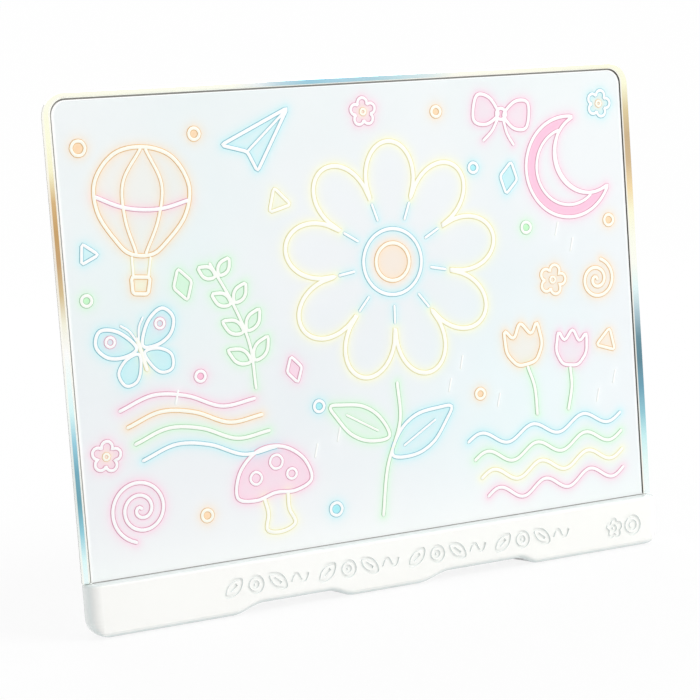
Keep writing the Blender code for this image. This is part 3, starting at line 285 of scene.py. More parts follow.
# Moulded finishes: name, colour, what it drifts to, roughness, grains to the metre, height in mm
MOULDED = {
    "matte_white": ("satin_white", (238, 240, 240), (235, 237, 237), 0.48, 2200.0, 0.03),
    "grey_rubber": ("grey_rubber", (176, 178, 178), (164, 166, 166), 0.75, 2600.0, 0.03),
    "reflector": ("white_film", (244, 246, 248), (238, 241, 244), 0.6, 900.0, 0.01),
    "chip_black": ("black_moulding", (34, 34, 36), (26, 26, 28), 0.45, 2400.0, 0.02),
    "connector_cream": ("natural_nylon", (226, 218, 196), (216, 208, 184), 0.5, 1600.0, 0.02),
    "lead_red": ("red_insulation", (190, 42, 36), (170, 34, 30), 0.45, 1400.0, 0.01),
    "lead_black": ("black_insulation", (40, 40, 42), (30, 30, 32), 0.45, 1400.0, 0.01),
    "seal": ("grey_seal", (156, 153, 150), (144, 141, 138), 0.7, 1800.0, 0.01),
}

# Painted reflections in the frame's mirror plating: its soft gold and blue colours by millimetres,
# up its two rails and across its top
LEFT_RAIL_REFLECTIONS = (
    (24, 240, 253, 253), (34, 224, 252, 252), (47, 147, 205, 220), (60, 104, 162, 176),
    (73, 114, 171, 189), (86, 154, 206, 223), (99, 218, 249, 249), (112, 238, 253, 251),
    (125, 254, 254, 252), (137, 244, 242, 222), (150, 214, 190, 142), (163, 197, 159, 108),
    (176, 201, 163, 109), (189, 216, 182, 132), (202, 250, 246, 208), (214, 254, 254, 224),
    (229, 254, 254, 230))
RIGHT_RAIL_REFLECTIONS = (
    (28, 246, 254, 254), (41, 230, 252, 248), (53, 199, 241, 243), (65, 145, 200, 213),
    (77, 107, 162, 183), (90, 94, 137, 152), (102, 112, 149, 162), (114, 174, 200, 210),
    (126, 229, 249, 249), (138, 253, 254, 244), (151, 253, 254, 238), (163, 254, 252, 220),
    (175, 246, 221, 172), (187, 213, 186, 146), (200, 204, 178, 138), (212, 224, 206, 162),
    (225, 254, 253, 222))
TOP_RAIL_REFLECTIONS = (
    (-149, 254, 254, 236), (-60, 254, 254, 240), (-48, 236, 242, 243), (-36, 186, 215, 226),
    (-22, 158, 205, 222), (-7, 172, 212, 228), (9, 176, 212, 224), (24, 196, 226, 232),
    (40, 222, 235, 236), (53, 254, 254, 242), (140, 254, 254, 230))


def moulded(name, colour, change, roughness, grain, height):
    """Moulded plastic: a faint drift of colour, a fine grain and uneven gloss."""
    made = Finish(name)
    made.tinted(colour, change, made.patches(0.35, 0.65, 14.0))
    return made.uneven(roughness - 0.06, 0.12, 60.0, 3.0).grain(height, grain, 3.0, 0.6)


def gloss_white():
    """Glossy white moulding with painted shade by facing: white in front and behind, painted cool
    grey shade on its ends and top, deeper painted shade on faces turned down.
    """
    made = Finish("gloss_white", coat=0.4)
    normal = made.node("ShaderNodeNewGeometry").outputs["Normal"]
    facing = made.node("ShaderNodeSeparateXYZ", {0: normal}).outputs
    # Painted shade: faces that look neither forwards nor back turn cool grey.
    front = made.span(made.math("ABSOLUTE", facing["Y"]), 0.3, 0.95)
    # Painted shade: faces turned down turn a deeper grey.
    underside_shade = made.span(made.times(facing["Z"], -1.0), 0.1, 1.0)
    white = made.mix(front, (240, 247, 246), (252, 252, 249))
    white = made.mix(underside_shade, white, (222, 232, 232))
    made.tinted(white, made.dyed(white, (250, 250, 249)),
                made.times(made.patches(0.35, 0.65, 14.0), 0.5))
    return made.uneven(0.14, 0.12, 60.0, 3.0).grain(0.02, 120.0, 3.0, 0.6)


def gasket_foam():
    """Dark foam, its tone partly the shade of the gap round the sheet, painted paler along the
    board's top and down its left side.
    """
    made = Finish("dark_gasket", roughness=0.8)
    # Painted shade: the line darkest at the right and the bottom, paler at the top and down the
    # left.
    left = made.span(made.axis("X"), -SHEET_HALF + 12 * MM, -SHEET_HALF + 2 * MM)
    top = made.span(made.axis("Z"), SHEET_TOP - 6 * MM, SHEET_TOP)
    shade = made.mix(made.times(top, 0.5), (120, 121, 119), (168, 164, 158))
    shade = made.mix(made.times(left, made.rest(top)), shade, (156, 155, 150))
    made.tinted(shade, (104, 105, 104), made.times(made.noise(900.0), 0.2))
    return made.grain(0.03, 1800.0, 3.0, 0.6)


def plated_frame():
    """Mirror plating with painted reflections of soft gold and blue, painted pale highlights along
    its inner and outer edges and a painted shade line round its outer sides.
    """
    made = Finish("plated_frame", metallic=1.0)
    pale = (254, 252, 244)
    x, z = made.axis("X"), made.axis("Z")
    # Painted reflections: the gold and blue bands up each rail and across the top.
    sides = made.mix(made.math("GREATER_THAN", x, 0.0), made.along(z, LEFT_RAIL_REFLECTIONS),
                     made.along(z, RIGHT_RAIL_REFLECTIONS))
    main = made.mix(made.span(z, INNER_TOP - 9 * MM, INNER_TOP - MM), sides,
                    made.along(x, TOP_RAIL_REFLECTIONS))
    main = made.mix(made.times(made.patches(0.3, 0.7, 30.0, 3.0, 0.6), 0.05), main, (1, 1, 1, 1))
    # Painted highlight: pale along the inner bevel, wider on the left rail.
    reach = made.beyond(INNER_HALF, INNER_TOP, INNER_RADIUS)
    on_left = made.span(x, -132 * MM, -142 * MM)
    stop = made.math("MULTIPLY_ADD", on_left, 0.6 * MM, 0.4 * MM)
    inner = made.span(made.math("SUBTRACT", stop, reach), -0.15 * MM, 0.15 * MM)
    main = made.mix(made.times(inner, 0.85), main, pale)
    # Painted highlight: pale on the faces set back from the front, and on the left rail's outer
    # bevel.
    depth = made.math("SUBTRACT", made.axis("Y"), FRAME_FRONT)
    outer = made.math("MAXIMUM", made.span(depth, 0.6 * MM, 1.0 * MM),
                      made.times(on_left, made.span(reach, 2.9 * MM, 3.2 * MM)))
    main = made.mix(made.times(outer, 0.72), main, pale)
    # Painted shade: a dark line 1.6 to 2.3 mm back from the frame's front, round its outer sides.
    line = made.times(made.span(depth, 1.6 * MM, 1.8 * MM), made.span(depth, 2.3 * MM, 2.1 * MM))
    made.tinted(main, made.dyed(main, (176, 170, 152)), made.times(line, 0.85))
    return made.uneven(0.08, 0.1, 120.0, 3.0)


def lit_sheet():
    """Edge-lit acrylic over white, coloured by each point's glow, which holds painted light; it
    gives off a little light as the painted glow of its edge lighting, and more along the rim as a
    painted highlight.
    """
    made = Finish("lit_acrylic", coat=0.3)
    glow = made.node("ShaderNodeAttribute", attribute_name="glow").outputs["Color"]
    drift = made.times(made.patches(0.4, 0.68, 9.0, 3.0), 0.35)
    # Painted highlight: more glow along the sheet's rim.
    rim = made.span(made.beyond(SHEET_HALF, SHEET_TOP, SHEET_RADIUS), -0.3 * MM, -0.15 * MM)
    made.glowing(made.mix(drift, glow, made.dyed(glow, (240, 249, 249))),
                 made.math("MULTIPLY_ADD", rim, 0.3, 0.15))
    return made.uneven(0.08, 0.08, 40.0, 3.0).grain(0.02, 18.0, 1.0)


def neon_ink(name, core, line):
    """Glowing marker ink: a bright middle between two thin lines of colour."""
    made = Finish(name, roughness=0.3)
    across = made.node("ShaderNodeAttribute", attribute_name="across").outputs["Fac"]
    wander = made.math("MULTIPLY_ADD", made.noise(900.0), 0.1, -0.05)
    edge = made.span(made.math("ADD", across, wander), 0.58, 0.72)
    return made.glowing(made.mix(edge, core, line), 0.12).grain(0.01, 1500.0)


def plated_steel():
    """Zinc-plated steel with a fine turned grain."""
    made = Finish("zinc_steel", metallic=1.0)
    made.tinted((206, 208, 212), (184, 187, 193), made.patches(0.35, 0.65, 700.0, 3.0))
    return made.uneven(0.24, 0.2, 2200.0).grain(0.004, 2600.0)


def inlet_finish():
    """A steel shell round a black tongue with gold contacts along its two faces."""
    low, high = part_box("usb_c_socket")
    middle = (low + high) / 2
    made = Finish("inlet", roughness=0.3)
    x = made.math("SUBTRACT", made.axis("X"), middle.x)
    z = made.math("ABSOLUTE", made.math("SUBTRACT", made.axis("Z"), middle.z))
    inside = made.times(made.math("LESS_THAN", z, 0.6 * MM),
                        made.math("LESS_THAN", made.math("ABSOLUTE", x), 3.6 * MM))
    pitch = made.math("FRACT", made.math("DIVIDE", x, 0.5 * MM))
    contact = made.times(made.math("LESS_THAN", pitch, 0.55),
                         made.math("GREATER_THAN", z, 0.33 * MM))
    steel = made.mix(made.noise(800.0), (196, 198, 202), (222, 223, 226))
    made.tinted(steel, made.mix(contact, (26, 26, 28), (214, 170, 92)), inside)
    return made.put("Metallic", made.rest(made.times(inside, made.rest(contact))))


def strip_finish():
    """White solder mask with warm lamp faces along it."""
    made = Finish("lamp_strip", roughness=0.4)
    lamp = made.math("GREATER_THAN", made.axis("Z"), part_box("led_strip")[1].z - 0.7 * MM)
    mask = made.mix(made.noise(300.0), (238, 239, 236), (228, 229, 226))
    made.tinted(mask, (250, 240, 180), lamp)
    return made.lit(made.mix(lamp, (0, 0, 0), (235, 245, 255)), 0.5)


def circuit_board():
    """Green solder mask over faint copper tracks."""
    made = Finish("circuit_board", roughness=0.35, coat=0.3)
    track = made.node("ShaderNodeTexBrick", {"Vector": made.place, "Scale": 90.0,
                                             "Mortar Size": 0.03}).outputs["Fac"]
    return made.tinted((24, 92, 52), (52, 128, 74), track).bump(track, 0.02)


def foil_finish():
    """The cell's soft foil pouch, slightly crumpled."""
    made = Finish("cell_foil", roughness=0.3, metallic=0.9)
    made.tinted((204, 206, 208), (182, 184, 188), made.patches(0.3, 0.7, 160.0, 4.0))
    return made.grain(0.08, 260.0, 4.0, 0.6)


def clear_rod():
    """The light pipe, with the lamp's green light painted in it as a glow."""
    made = Finish("clear_rod", roughness=0.25).put("Transmission Weight", 0.4)
    made.tinted((214, 232, 218), (232, 244, 236), made.noise(900.0))
    return made.lit((170, 235, 180), 0.12)


def lamp_finish():
    """The small green lamp, lit."""
    made = Finish("small_lamp", roughness=0.3).lit((140, 230, 150), 0.5)
    return made.tinted((190, 235, 195), (160, 220, 168), made.noise(1200.0))


def dress_nodes():
    """Give every CAD node a finish of its own kind, and the moulded ones their skins."""
    made = {slot: moulded(*look) for slot, look in MOULDED.items()}
    made |= {
        "plated_frame": plated_frame(), "clear_acrylic": made["reflector"],
        "dark_gasket": gasket_foam(), "gloss_white": gloss_white(), "screw_steel": plated_steel(),
        "led_strip": strip_finish(), "board_green": circuit_board(), "cell_foil": foil_finish(),
        "charge_lamp": lamp_finish(), "clear_pipe": clear_rod(),
    }
    for node, slot in SLOTS.items():
        paint(NODES[node], made[slot])
    paint(NODES["usb_c_socket"], inlet_finish())
    skin("base_housing", "base_shell", made["gloss_white"], base_ornament(), shape=soften_arches)
    skin("chrome_frame", "plated_bezel", made["plated_frame"])
    skin("back_cover", "rear_shell", made["matte_white"])
    skin("base_bottom_cover", "base_plate", made["matte_white"], shape=soften_arches)
    screws(made["screw_steel"])
    keys()
    ledge_seal(made["seal"])


def paint(piece, finish):
    """One finish over the whole piece."""
    piece.data.materials.clear()
    piece.data.materials.append(finish.material)


def show(name, mesh, finish, body=BOARD):
    """Link a new piece, finish it and let it ride on a body."""
    piece = link(name, mesh)
    paint(piece, finish)
    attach(piece, body)
    return piece


# Mesh work

def close(bm, mesh):
    """End a bmesh: the mesh with its faces, all of them facing outwards."""
    bmesh.ops.recalc_face_normals(bm, faces=bm.faces)
    bm.to_mesh(mesh)
    bm.free()
    return mesh


def smooth(mesh, sharp):
    """Smooth shading, broken at edges sharper than an angle in degrees."""
    mesh.shade_smooth()
    mesh.set_sharp_from_angle(angle=math.radians(sharp))


def bridge(bm, rows, closed=True, looped=False):
    """Faces from each row of points to the next, and from the last to the first if looped."""
    for row, after in zip(rows, rows[1:] + rows[:1] if looped else rows[1:]):
        for k in range(len(row) if closed else len(row) - 1):
            m = (k + 1) % len(row)
            corners = tuple(dict.fromkeys((row[k], row[m], after[m], after[k])))
            if len(corners) > 2:
                bm.faces.new(corners)


def weld(node):
    """The node's own mesh with its corners joined."""
    source = NODES[node].data
    mesh = bpy.data.meshes.new(node)
    mesh.from_pydata([v.co for v in source.vertices], [],
                     [tuple(p.vertices) for p in source.polygons])
    bm = bmesh.new()
    bm.from_mesh(mesh)
    bmesh.ops.remove_doubles(bm, verts=bm.verts, dist=1e-6)
    return close(bm, mesh)


# The base's two arches in mm: each flank's foot and top, as the CAD model has them and softened,
# their height, and how far up the base is reshaped
ARCH_FLANKS = (((-80.8, -71.9), (-82.0, -66.5)), ((-24.2, -33.1), (-21.0, -34.0)),
               ((17.7, 26.6), (12.5, 30.0)), ((74.3, 65.4), (78.0, 67.5)))
ARCH_RISE = 3.7
SHAPED_TOP = 9.0


def arch_rise(x, look, steps):
    """How far the base's lower edge stands above its lands at a place along it, in mm."""
    shares = np.linspace(0, 1, steps + 1)
    rises = ARCH_RISE * (1 - np.cos(np.pi * shares)) / 2
    flanks = [np.interp((x - foot) / (top - foot), shares, rises)
              for foot, top in (flank[look] for flank in ARCH_FLANKS)]
    return np.maximum(np.minimum(*flanks[:2]), np.minimum(*flanks[2:]))


def slice_low(bm, depth, cuts):
    """Slice the faces near the bottom, as far back as a depth, by planes of (place, normal)."""
    faces = [face for face in bm.faces if min(v.co.z for v in face.verts) < SHAPED_TOP * MM
             and min(v.co.y for v in face.verts) < depth]
    edges = {edge: None for face in faces for edge in face.edges}
    verts = {vert: None for face in faces for vert in face.verts}
    geometry = [*faces, *edges, *verts]
    for place, normal in cuts:
        geometry = bmesh.ops.bisect_plane(bm, geom=geometry, dist=1e-7, plane_co=place,
                                          plane_no=normal)["geom"]


def soften_arches(mesh):
    """Draw the arches' flanks out and round the base's front lower edge more fully, in mm."""
    cad_steps, soft_steps = 7, 60
    radius, wall, rear, fade = 3.0, 3.2, 10.0, 2.5
    end, end_fade = 138, 8
    front, bottom = BASE_LOW.y / MM, BASE_LOW.z / MM
    bm = bmesh.new()
    bm.from_mesh(mesh)
    levels = np.arange(0.75, SHAPED_TOP - 0.3, 0.35)
    places = [x for made, soft in ARCH_FLANKS
              for x in np.arange(min(made + soft) - 0.4, max(made + soft) + 0.8, 0.9)]
    slice_low(bm, (front + wall - 0.1) * MM, [((0, 0, z * MM), (0, 0, 1)) for z in levels])
    slice_low(bm, rear * MM, [((x * MM, 0, 0), (1, 0, 0)) for x in places])
    for vert in bm.verts:
        x, y, z = (c / MM for c in vert.co)
        if z > SHAPED_TOP or y > rear:
            continue
        rise = arch_rise(x, 0, cad_steps)
        height = z - bottom - rise
        share = min((SHAPED_TOP - z) / fade, 1) * min((rear - y) / (rear - front - wall), 1)
        vert.co.z += (arch_rise(x, 1, soft_steps) - rise) * share * MM
        if height < radius and y < front + wall - 0.05:
            inset = radius - math.sqrt(max(radius ** 2 - (radius - height) ** 2, 0))
            middle = min(max((end - abs(x)) / end_fade, 0), 1)
            vert.co.y += middle * max(front + inset - y, 0) * MM
    bmesh.ops.remove_doubles(bm, verts=bm.verts, dist=2e-6)
    bmesh.ops.triangulate(bm, faces=bm.faces)
    close(bm, mesh)


def carve(mesh, cutter):
    """The mesh less the cutter's space, worked out in millimetres."""
    for part in (mesh, cutter):
        part.transform(Matrix.Scale(1 / MM, 4))
    piece, tool = link("uncut", mesh), link("cutter", cutter)
    cut = piece.modifiers.new("carve", "BOOLEAN")
    cut.object = tool
    cut.operation = "DIFFERENCE"
    cut.solver = "EXACT"
    cut.use_self = True
    bpy.context.view_layer.update()
    graph = bpy.context.evaluated_depsgraph_get()
    carved = bpy.data.meshes.new_from_object(piece.evaluated_get(graph))
    for thing in (piece, tool):
        bpy.data.objects.remove(thing)
    carved.transform(Matrix.Scale(MM, 4))
    return carved


def skin(node, name, finish, cutter=None, body=BOARD, shape=None):
    """A smooth-shaded skin in a node's place, reshaped and carved where asked."""
    mesh = weld(node)
    if shape is not None:
        shape(mesh)
    if cutter is not None:
        mesh = carve(mesh, cutter)
    smooth(mesh, 32)
    piece = show(name, mesh, finish, body)
    normals = piece.modifiers.new("even_shading", "WEIGHTED_NORMAL")
    normals.mode = "FACE_AREA_WITH_ANGLE"
    normals.keep_sharp = True
    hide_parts(node)


def trough(strokes, face, inward, depth, half_width, draft, spacing=0.5):
    """A cutter for grooves: strokes are lines on the face, cut inwards to a depth in mm."""
    bm = bmesh.new()
    for line, closed in strokes:
        line = even(line, closed, spacing)
        ahead = headings(line, closed)
        side = np.column_stack((-ahead[:, 1], ahead[:, 0]))
        rows = []
        for share, level in ((-1, -0.2), (1, -0.2), (1 - draft, depth), (-1 + draft, depth)):
            points = line + side * half_width * share
            rows.append([bm.verts.new((x * MM, face + inward * level * MM, z * MM))
                         for x, z in points])
        bridge(bm, rows, closed, looped=True)
        if not closed:
            bm.faces.new([row[0] for row in rows])
            bm.faces.new([row[-1] for row in reversed(rows)])
    return close(bm, bpy.data.meshes.new("trough"))


def base_ornament():
    """Leaves, rings and waves along the front of the base, and a flower at its right end."""
    blade = flowing([(-5.2, 0), (-2.9, 2.1), (0, 2.8), (2.9, 2.1), (5.2, 0), (2.9, -2.1),
                     (0, -2.8), (-2.9, -2.1)], True)
    vein = np.array([(-2.2, 0), (2.2, 0)])
    wave = flowing([(-4.4, -1.5), (-2.9, 1.5), (-0.8, 1.5), (0.8, -1.5), (2.9, -1.5), (4.4, 1.5)])
    leaves = [[(blade @ rotation(turn), True), (vein @ rotation(turn), False)]
              for turn in (38, -38)]
    motifs = [leaves[0], [(ring(3.7), True), (ring(1.2), True)], leaves[1], [(wave, False)]]
    first, pitch, pause, middle, groups = -81.5, 10.9, 3.0, 13.4, 4
    strokes = []
    for index, motif in enumerate(motifs * groups):
        x = first + pitch * index + pause * (index // len(motifs))
        strokes += [(line + (x, middle), closed) for line, closed in motif]
    turns = round_turns(96)
    petals = polar(3.95 + 0.7 * np.cos(5 * turns) - 0.16 * np.cos(10 * turns), turns)[:, ::-1]
    flower, rings = (121.4, 11.2), (132.2, 11.4)
    strokes += [(line, True) for line in (petals + flower, ring(1.3, flower), ring(4.5, rings),
                                          ring(2.1, rings))]
    return trough(strokes, BASE_LOW.y, 1, 0.7, 0.7, 0.12)


def ledge_seal(finish):
    """The thin dark lip where the sheet goes down into the ledge."""
    half = SHEET_HALF - 0.1 * MM
    section = [(-0.24, -0.8), (-0.24, 0.16), (-0.18, 0.26), (-0.1, 0.28), (-0.02, 0.22),
               (-0.02, -0.8)]
    bm = bmesh.new()
    rows = [[bm.verts.new((x, SHEET_FRONT + y * MM, LEDGE_TOP + z * MM)) for y, z in section]
            for x in np.linspace(-half, half, 60)]
    bridge(bm, rows)
    bm.faces.new(rows[0])
    bm.faces.new(rows[-1])
    mesh = close(bm, bpy.data.meshes.new("ledge_seal"))
    smooth(mesh, 40)
    show("ledge_seal", mesh, finish)


def screw_mesh(length, sides=40):
    """A pan-head screw with a cross recess, its head's top at the origin and facing +Z, in mm."""
    profile = [(1.1, -0.03), (1.6, -0.14), (1.88, -0.34), (2.0, -0.6), (1.94, -0.8), (1.0, -0.8),
               (1.0, 1.4 - length), (0.55, -length)]
    bm = bmesh.new()
    rows = [[bm.verts.new((0, 0, 0))] * sides]
    rows += [[bm.verts.new((x, y, z)) for x, y in polar(radius, round_turns(sides))]
             for radius, z in profile]
    bridge(bm, rows)
    bm.faces.new(rows[-1])
    mesh = close(bm, bpy.data.meshes.new("screw"))
    reach, half, draft = 1.15, 0.24, 0.62
    arm = np.array(((half, reach), (half, half), (reach, half)))
    plan = np.vstack([arm @ rotation(-90 * turn) for turn in range(4)])
    bm = bmesh.new()
    rows = [[bm.verts.new((x * size, y * size, z)) for x, y in plan]
            for size, z in ((1.0, 0.2), (draft, -0.5))]
    bridge(bm, rows)
    for row in rows:
        bm.faces.new(row)
    recess = close(bm, bpy.data.meshes.new("recess"))
    for part in (mesh, recess):
        part.transform(Matrix.Scale(MM, 4))
    return carve(mesh, recess)


def screws(finish):
    """Cross-recess screws in the places of the plain ones, each turned its own way."""
    kinds = [(f"board_screw_{k}", (0, 1, 0)) for k in range(1, 5)]
    kinds += [(f"cover_screw_{k}", (0, 0, -1)) for k in range(1, 7)]
    for index, (node, outward) in enumerate(kinds):
        low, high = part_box(node)
        outward = Vector(outward)
        length = abs((high - low).dot(outward))
        mesh = screw_mesh(round(length / MM, 2))
        turn = Matrix.Rotation(math.radians(37 * index), 4, "Z")
        lie = Vector((0, 0, 1)).rotation_difference(outward).to_matrix().to_4x4()
        head = (low + high) / 2 + outward * length / 2
        mesh.transform(Matrix.Translation(head) @ lie @ turn)
        smooth(mesh, 35)
        piece = show(f"cross_{node}", mesh, finish)
        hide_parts(node)


def key_finish(name, centre, face):
    """Gloss white with grey in the carved sign."""
    made = Finish(name, roughness=0.25, coat=0.4)
    away = made.node("ShaderNodeVectorMath", {0: made.place, 1: (centre.x, face, centre.z)},
                     operation="DISTANCE").outputs["Value"]
    mark = made.times(made.math("LESS_THAN", made.axis("Y"), face - 0.05 * MM),
                      made.math("LESS_THAN", away, 2.25 * MM))
    white = made.mix(made.noise(200.0), (250, 251, 249), (245, 247, 246))
    return made.tinted(white, (128, 134, 138), mark).grain(0.003, 1500.0)


def keys():
    """The two keys with a power sign and a lamp sign carved in their faces."""
    power = [(arc((0, 0), 1.4, 130, 410, 30), False), (np.array([(0, 0.35), (0, 1.8)]), False)]
    lamp = [(ring(0.75), True)] + [(ray(1.3, 1.85, turn), False) for turn in range(0, 360, 45)]
    for node, strokes, body in (("power_button", power, "power_key"),
                                ("mode_button", lamp, "mode_key")):
        low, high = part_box(node)
        middle = (low + high) / 2
        placed = [(line + (middle.x / MM, middle.z / MM), closed) for line, closed in strokes]
        cutter = trough(placed, high.y, -1, 0.18, 0.17, 0.2, spacing=0.2)
        skin(node, f"{body}_cap", key_finish(f"{body}_white", middle, high.y), cutter, body)


# Lines, in millimetres

def rotation(angle):
    """What turns points about the origin, by an angle in degrees."""
    c, s = math.cos(math.radians(angle)), math.sin(math.radians(angle))
    return np.array(((c, s), (-s, c)))


def mirrored(points, side):
    """The points, or for a side of -1 their mirror image from left to right."""
    return np.array(points, float) * (side, 1)


def round_turns(count):
    """Even angles once round, in radians."""
    return np.radians(np.linspace(0, 360, count, endpoint=False))


def polar(radius, turns):
    return np.column_stack((radius * np.cos(turns), radius * np.sin(turns)))


def ray(start, stop, turn):
    """A straight piece outwards from the middle, from one radius to another."""
    return polar(np.array((start, stop)), math.radians(turn))


def arc(centre, radius, start, stop, steps=24):
    """Points along part of a circle, angles in degrees."""
    return polar(radius, np.radians(np.linspace(start, stop, steps + 1))) + centre


def ring(radius, centre=(0, 0)):
    return arc(centre, radius, 0, 360, max(12, int(radius * 4)))[:-1]


def flowing(points, closed=False, steps=10):
    """A smooth line through its points."""
    points = np.asarray(points, float)
    if closed:
        points = np.vstack((points[-1:], points, points[:2]))
    else:
        points = np.vstack((2 * points[0] - points[1], points, 2 * points[-1] - points[-2]))
    a, b, c, d = (points[k:len(points) - 3 + k, None] for k in range(4))
    t = np.arange(steps)[:, None] / steps
    line = 0.5 * (2 * b + (c - a) * t + (2 * a - 5 * b + 4 * c - d) * t ** 2
                  + (3 * b - a - 3 * c + d) * t ** 3)
    line = line.reshape(-1, 2)
    return line if closed else np.vstack((line, points[-2]))


def cornered(points, radius=1.5, steps=5):
    """A closed line, straight with rounded corners."""
    points = np.asarray(points, float)
    ways = [np.roll(points, shift, axis=0) - points for shift in (1, -1)]
    lengths = [np.linalg.norm(way, axis=1) for way in ways]
    reach = np.minimum(radius, 0.45 * np.minimum(*lengths))
    start, stop = ((points + way * (reach / length)[:, None])[:, None]
                   for way, length in zip(ways, lengths))
    t = np.linspace(0, 1, steps + 1)[:, None]
    line = (1 - t) ** 2 * start + 2 * t * (1 - t) * points[:, None] + t ** 2 * stop
    return line.reshape(-1, 2)


def even(line, closed, spacing):
    """The same line with its points evenly spaced."""
    if closed:
        line = np.vstack((line, line[:1]))
    gaps = np.linalg.norm(np.diff(line, axis=0), axis=1)
    along = np.concatenate(([0], np.cumsum(gaps)))
    where = np.linspace(0, along[-1], max(4, int(round(along[-1] / spacing))) + 1)
    spaced = np.column_stack([np.interp(where, along, line[:, k]) for k in (0, 1)])
    return spaced[:-1] if closed else spaced


def headings(line, closed):
    """Which way the line runs at each of its points."""
    if closed:
        ahead = np.roll(line, -1, axis=0) - np.roll(line, 1, axis=0)
    else:
        ahead = np.gradient(line, axis=0)
    return ahead / np.linalg.norm(ahead, axis=1)[:, None]


# Doodles

class Doodle:
    """A motif or drawing: lines of ink and patches of colour, about its own middle."""

    def __init__(self):
        self.lines = []
        self.patches = []

    def line(self, colour, points, closed=False, width=1.0):
        self.lines.append((colour, np.asarray(points, float), closed, width))
        return self

    def patch(self, colour, points, strength, hole=None):
        self.patches.append((colour, points, strength, hole))
        return self

    def shape(self, colour, points, strength, width=1.0):
        """A closed line with colour inside."""
        return self.line(colour, points, True, width).patch(colour, points, strength)

    def add(self, motif, x, y, turn=0.0, size=1.0):
        """Take in another motif, turned, sized and moved to its place."""
        spin = rotation(turn) * size
        for colour, points, closed, width in motif.lines:
            self.line(colour, points @ spin + (x, y), closed, width)
        for colour, points, strength, hole in motif.patches:
            hole = None if hole is None else hole @ spin + (x, y)
            self.patch(colour, points @ spin + (x, y), strength, hole)


def daisy():
    """A large open flower with a round middle."""
    turns = round_turns(360)
    made = Doodle().line("aqua", ring(14), True).shape("orange", ring(8), 0.4)
    made.line("yellow", polar(28 + 23 * np.abs(np.cos(4.5 * turns)) ** 0.5, turns), True, 1.15)
    for turn in range(20, 380, 40):
        made.line("aqua", ray(19, 26, turn), width=0.8)
    return made


def leaf(length, width, colour="mint", vein=True):
    outline = flowing(np.array([(0, 0), (0.25, 0.86), (0.55, 1), (0.85, 0.45), (1, 0),
                                (0.85, -0.45), (0.55, -1), (0.25, -0.86)])
                      * (length, width / 2), True)
    made = Doodle().shape(colour, outline, 0.22)
    if vein:
        made.line(colour, [(0.2 * length, 0), (0.72 * length, 0)], width=0.7)
    return made


def crescent():
    """A crescent moon in two outlines with colour between them."""
    def horned(radius, inner, shift):
        reach = math.degrees(math.acos((radius ** 2 + shift ** 2 - inner ** 2)
                                       / (2 * radius * shift)))
        back = math.degrees(math.acos((inner ** 2 + shift ** 2 - radius ** 2)
                                      / (2 * inner * shift)))
        outer = arc((0, 0), radius, reach, 360 - reach, 44)
        inside = arc((shift, 0), inner, 180 + back, 180 - back, 36)
        return cornered(even(np.vstack((outer, inside[1:-1])), True, 2.2), 1.6)
    outside, inside = horned(24, 19, 12.5), horned(18.2, 20, 14.5)
    return (Doodle().line("pink", outside, True).line("pink", inside, True, 0.9)
            .patch("pink", outside, 1.0, inside))


def spiral(colour, turns, radius):
    angles = np.linspace(0.6, 2 * math.pi * turns, int(36 * turns))
    return Doodle().line(colour, polar(radius * angles / angles[-1], angles))


def butterfly():
    """Two pairs of wings about a slim body."""
    made = Doodle().line("yellow", [(0, 5.4), (0, -8.5)], width=1.1)
    for side in (-1, 1):
        upper = mirrored([(1.5, 2), (7, 11), (15, 14.5), (19, 9), (15.5, 2.5), (8, 0)], side)
        lower = mirrored([(1.5, -1), (8, -1.5), (13, -6), (11.5, -12), (6, -12), (2.5, -7)], side)
        made.shape("aqua", flowing(upper, True), 0.3).shape("aqua", flowing(lower, True), 0.5, 0.9)
        made.line("pink", ring(2.1, (side * 12.2, 8.4)), True, 0.8)
        made.line("aqua", flowing(mirrored([(0.6, 5), (2.4, 10), (5.4, 13.4)], side)), width=0.7)
    return made


def balloon():
    """A striped balloon with a basket."""
    shell = flowing([(0, 24), (13, 20.5), (21, 9), (19.5, -4), (11, -15.5), (4.6, -20.5),
                     (-4.6, -20.5), (-11, -15.5), (-19.5, -4), (-21, 9), (-13, 20.5)], True)
    made = Doodle().shape("orange", shell, 0.14)
    for side in (-1, 1):
        seam = mirrored([(1.2, 23), (8.6, 9), (7.4, -6), (2.2, -20)], side)
        made.line("orange", flowing(seam), width=0.85)
        made.line("yellow", mirrored([(4.2, -22), (3.4, -29.5)], side), width=0.7)
    made.line("pink", flowing([(-20.6, 2.5), (-10, -1), (0, -2), (10, -1), (20.6, 2.5)]))
    basket = cornered([(-4.2, -30), (4.2, -30), (3.4, -37), (-3.4, -37)], 1.2)
    return made.line("orange", basket, True).patch("yellow", basket, 0.5)


def mushroom():
    cap = flowing([(-17, 0.5), (-14.5, 10), (-7, 16.5), (1, 18), (9, 15.5), (15.5, 9), (17, 0.5),
                   (9, -2.4), (0, -1.2), (-9, -2.4)], True)
    made = Doodle().shape("pink", cap, 0.45)
    for x, y, radius in ((-7.5, 6.6, 2.6), (2.6, 11.2, 2.9), (8.6, 4.8, 2.2)):
        made.line("pink", ring(radius, (x, y)), True, 0.8)
    return made.line("yellow", flowing([(-5.4, -2.4), (-4.8, -9), (-6.4, -15.5), (0, -17.6),
                                        (6.4, -15.5), (4.8, -9), (5.4, -2.4)]))


def tulip(colour):
    cup = cornered([(-9, 12), (-4.8, 5.5), (0, 13.5), (4.8, 5.5), (9, 12), (9.8, 0.5), (5, -6.5),
                    (-5, -6.5), (-9.8, 0.5)], 3.0)
    return (Doodle().shape(colour, cup, 0.25)
            .line("mint", flowing([(0, -8), (1.6, -18), (0.4, -30)])))


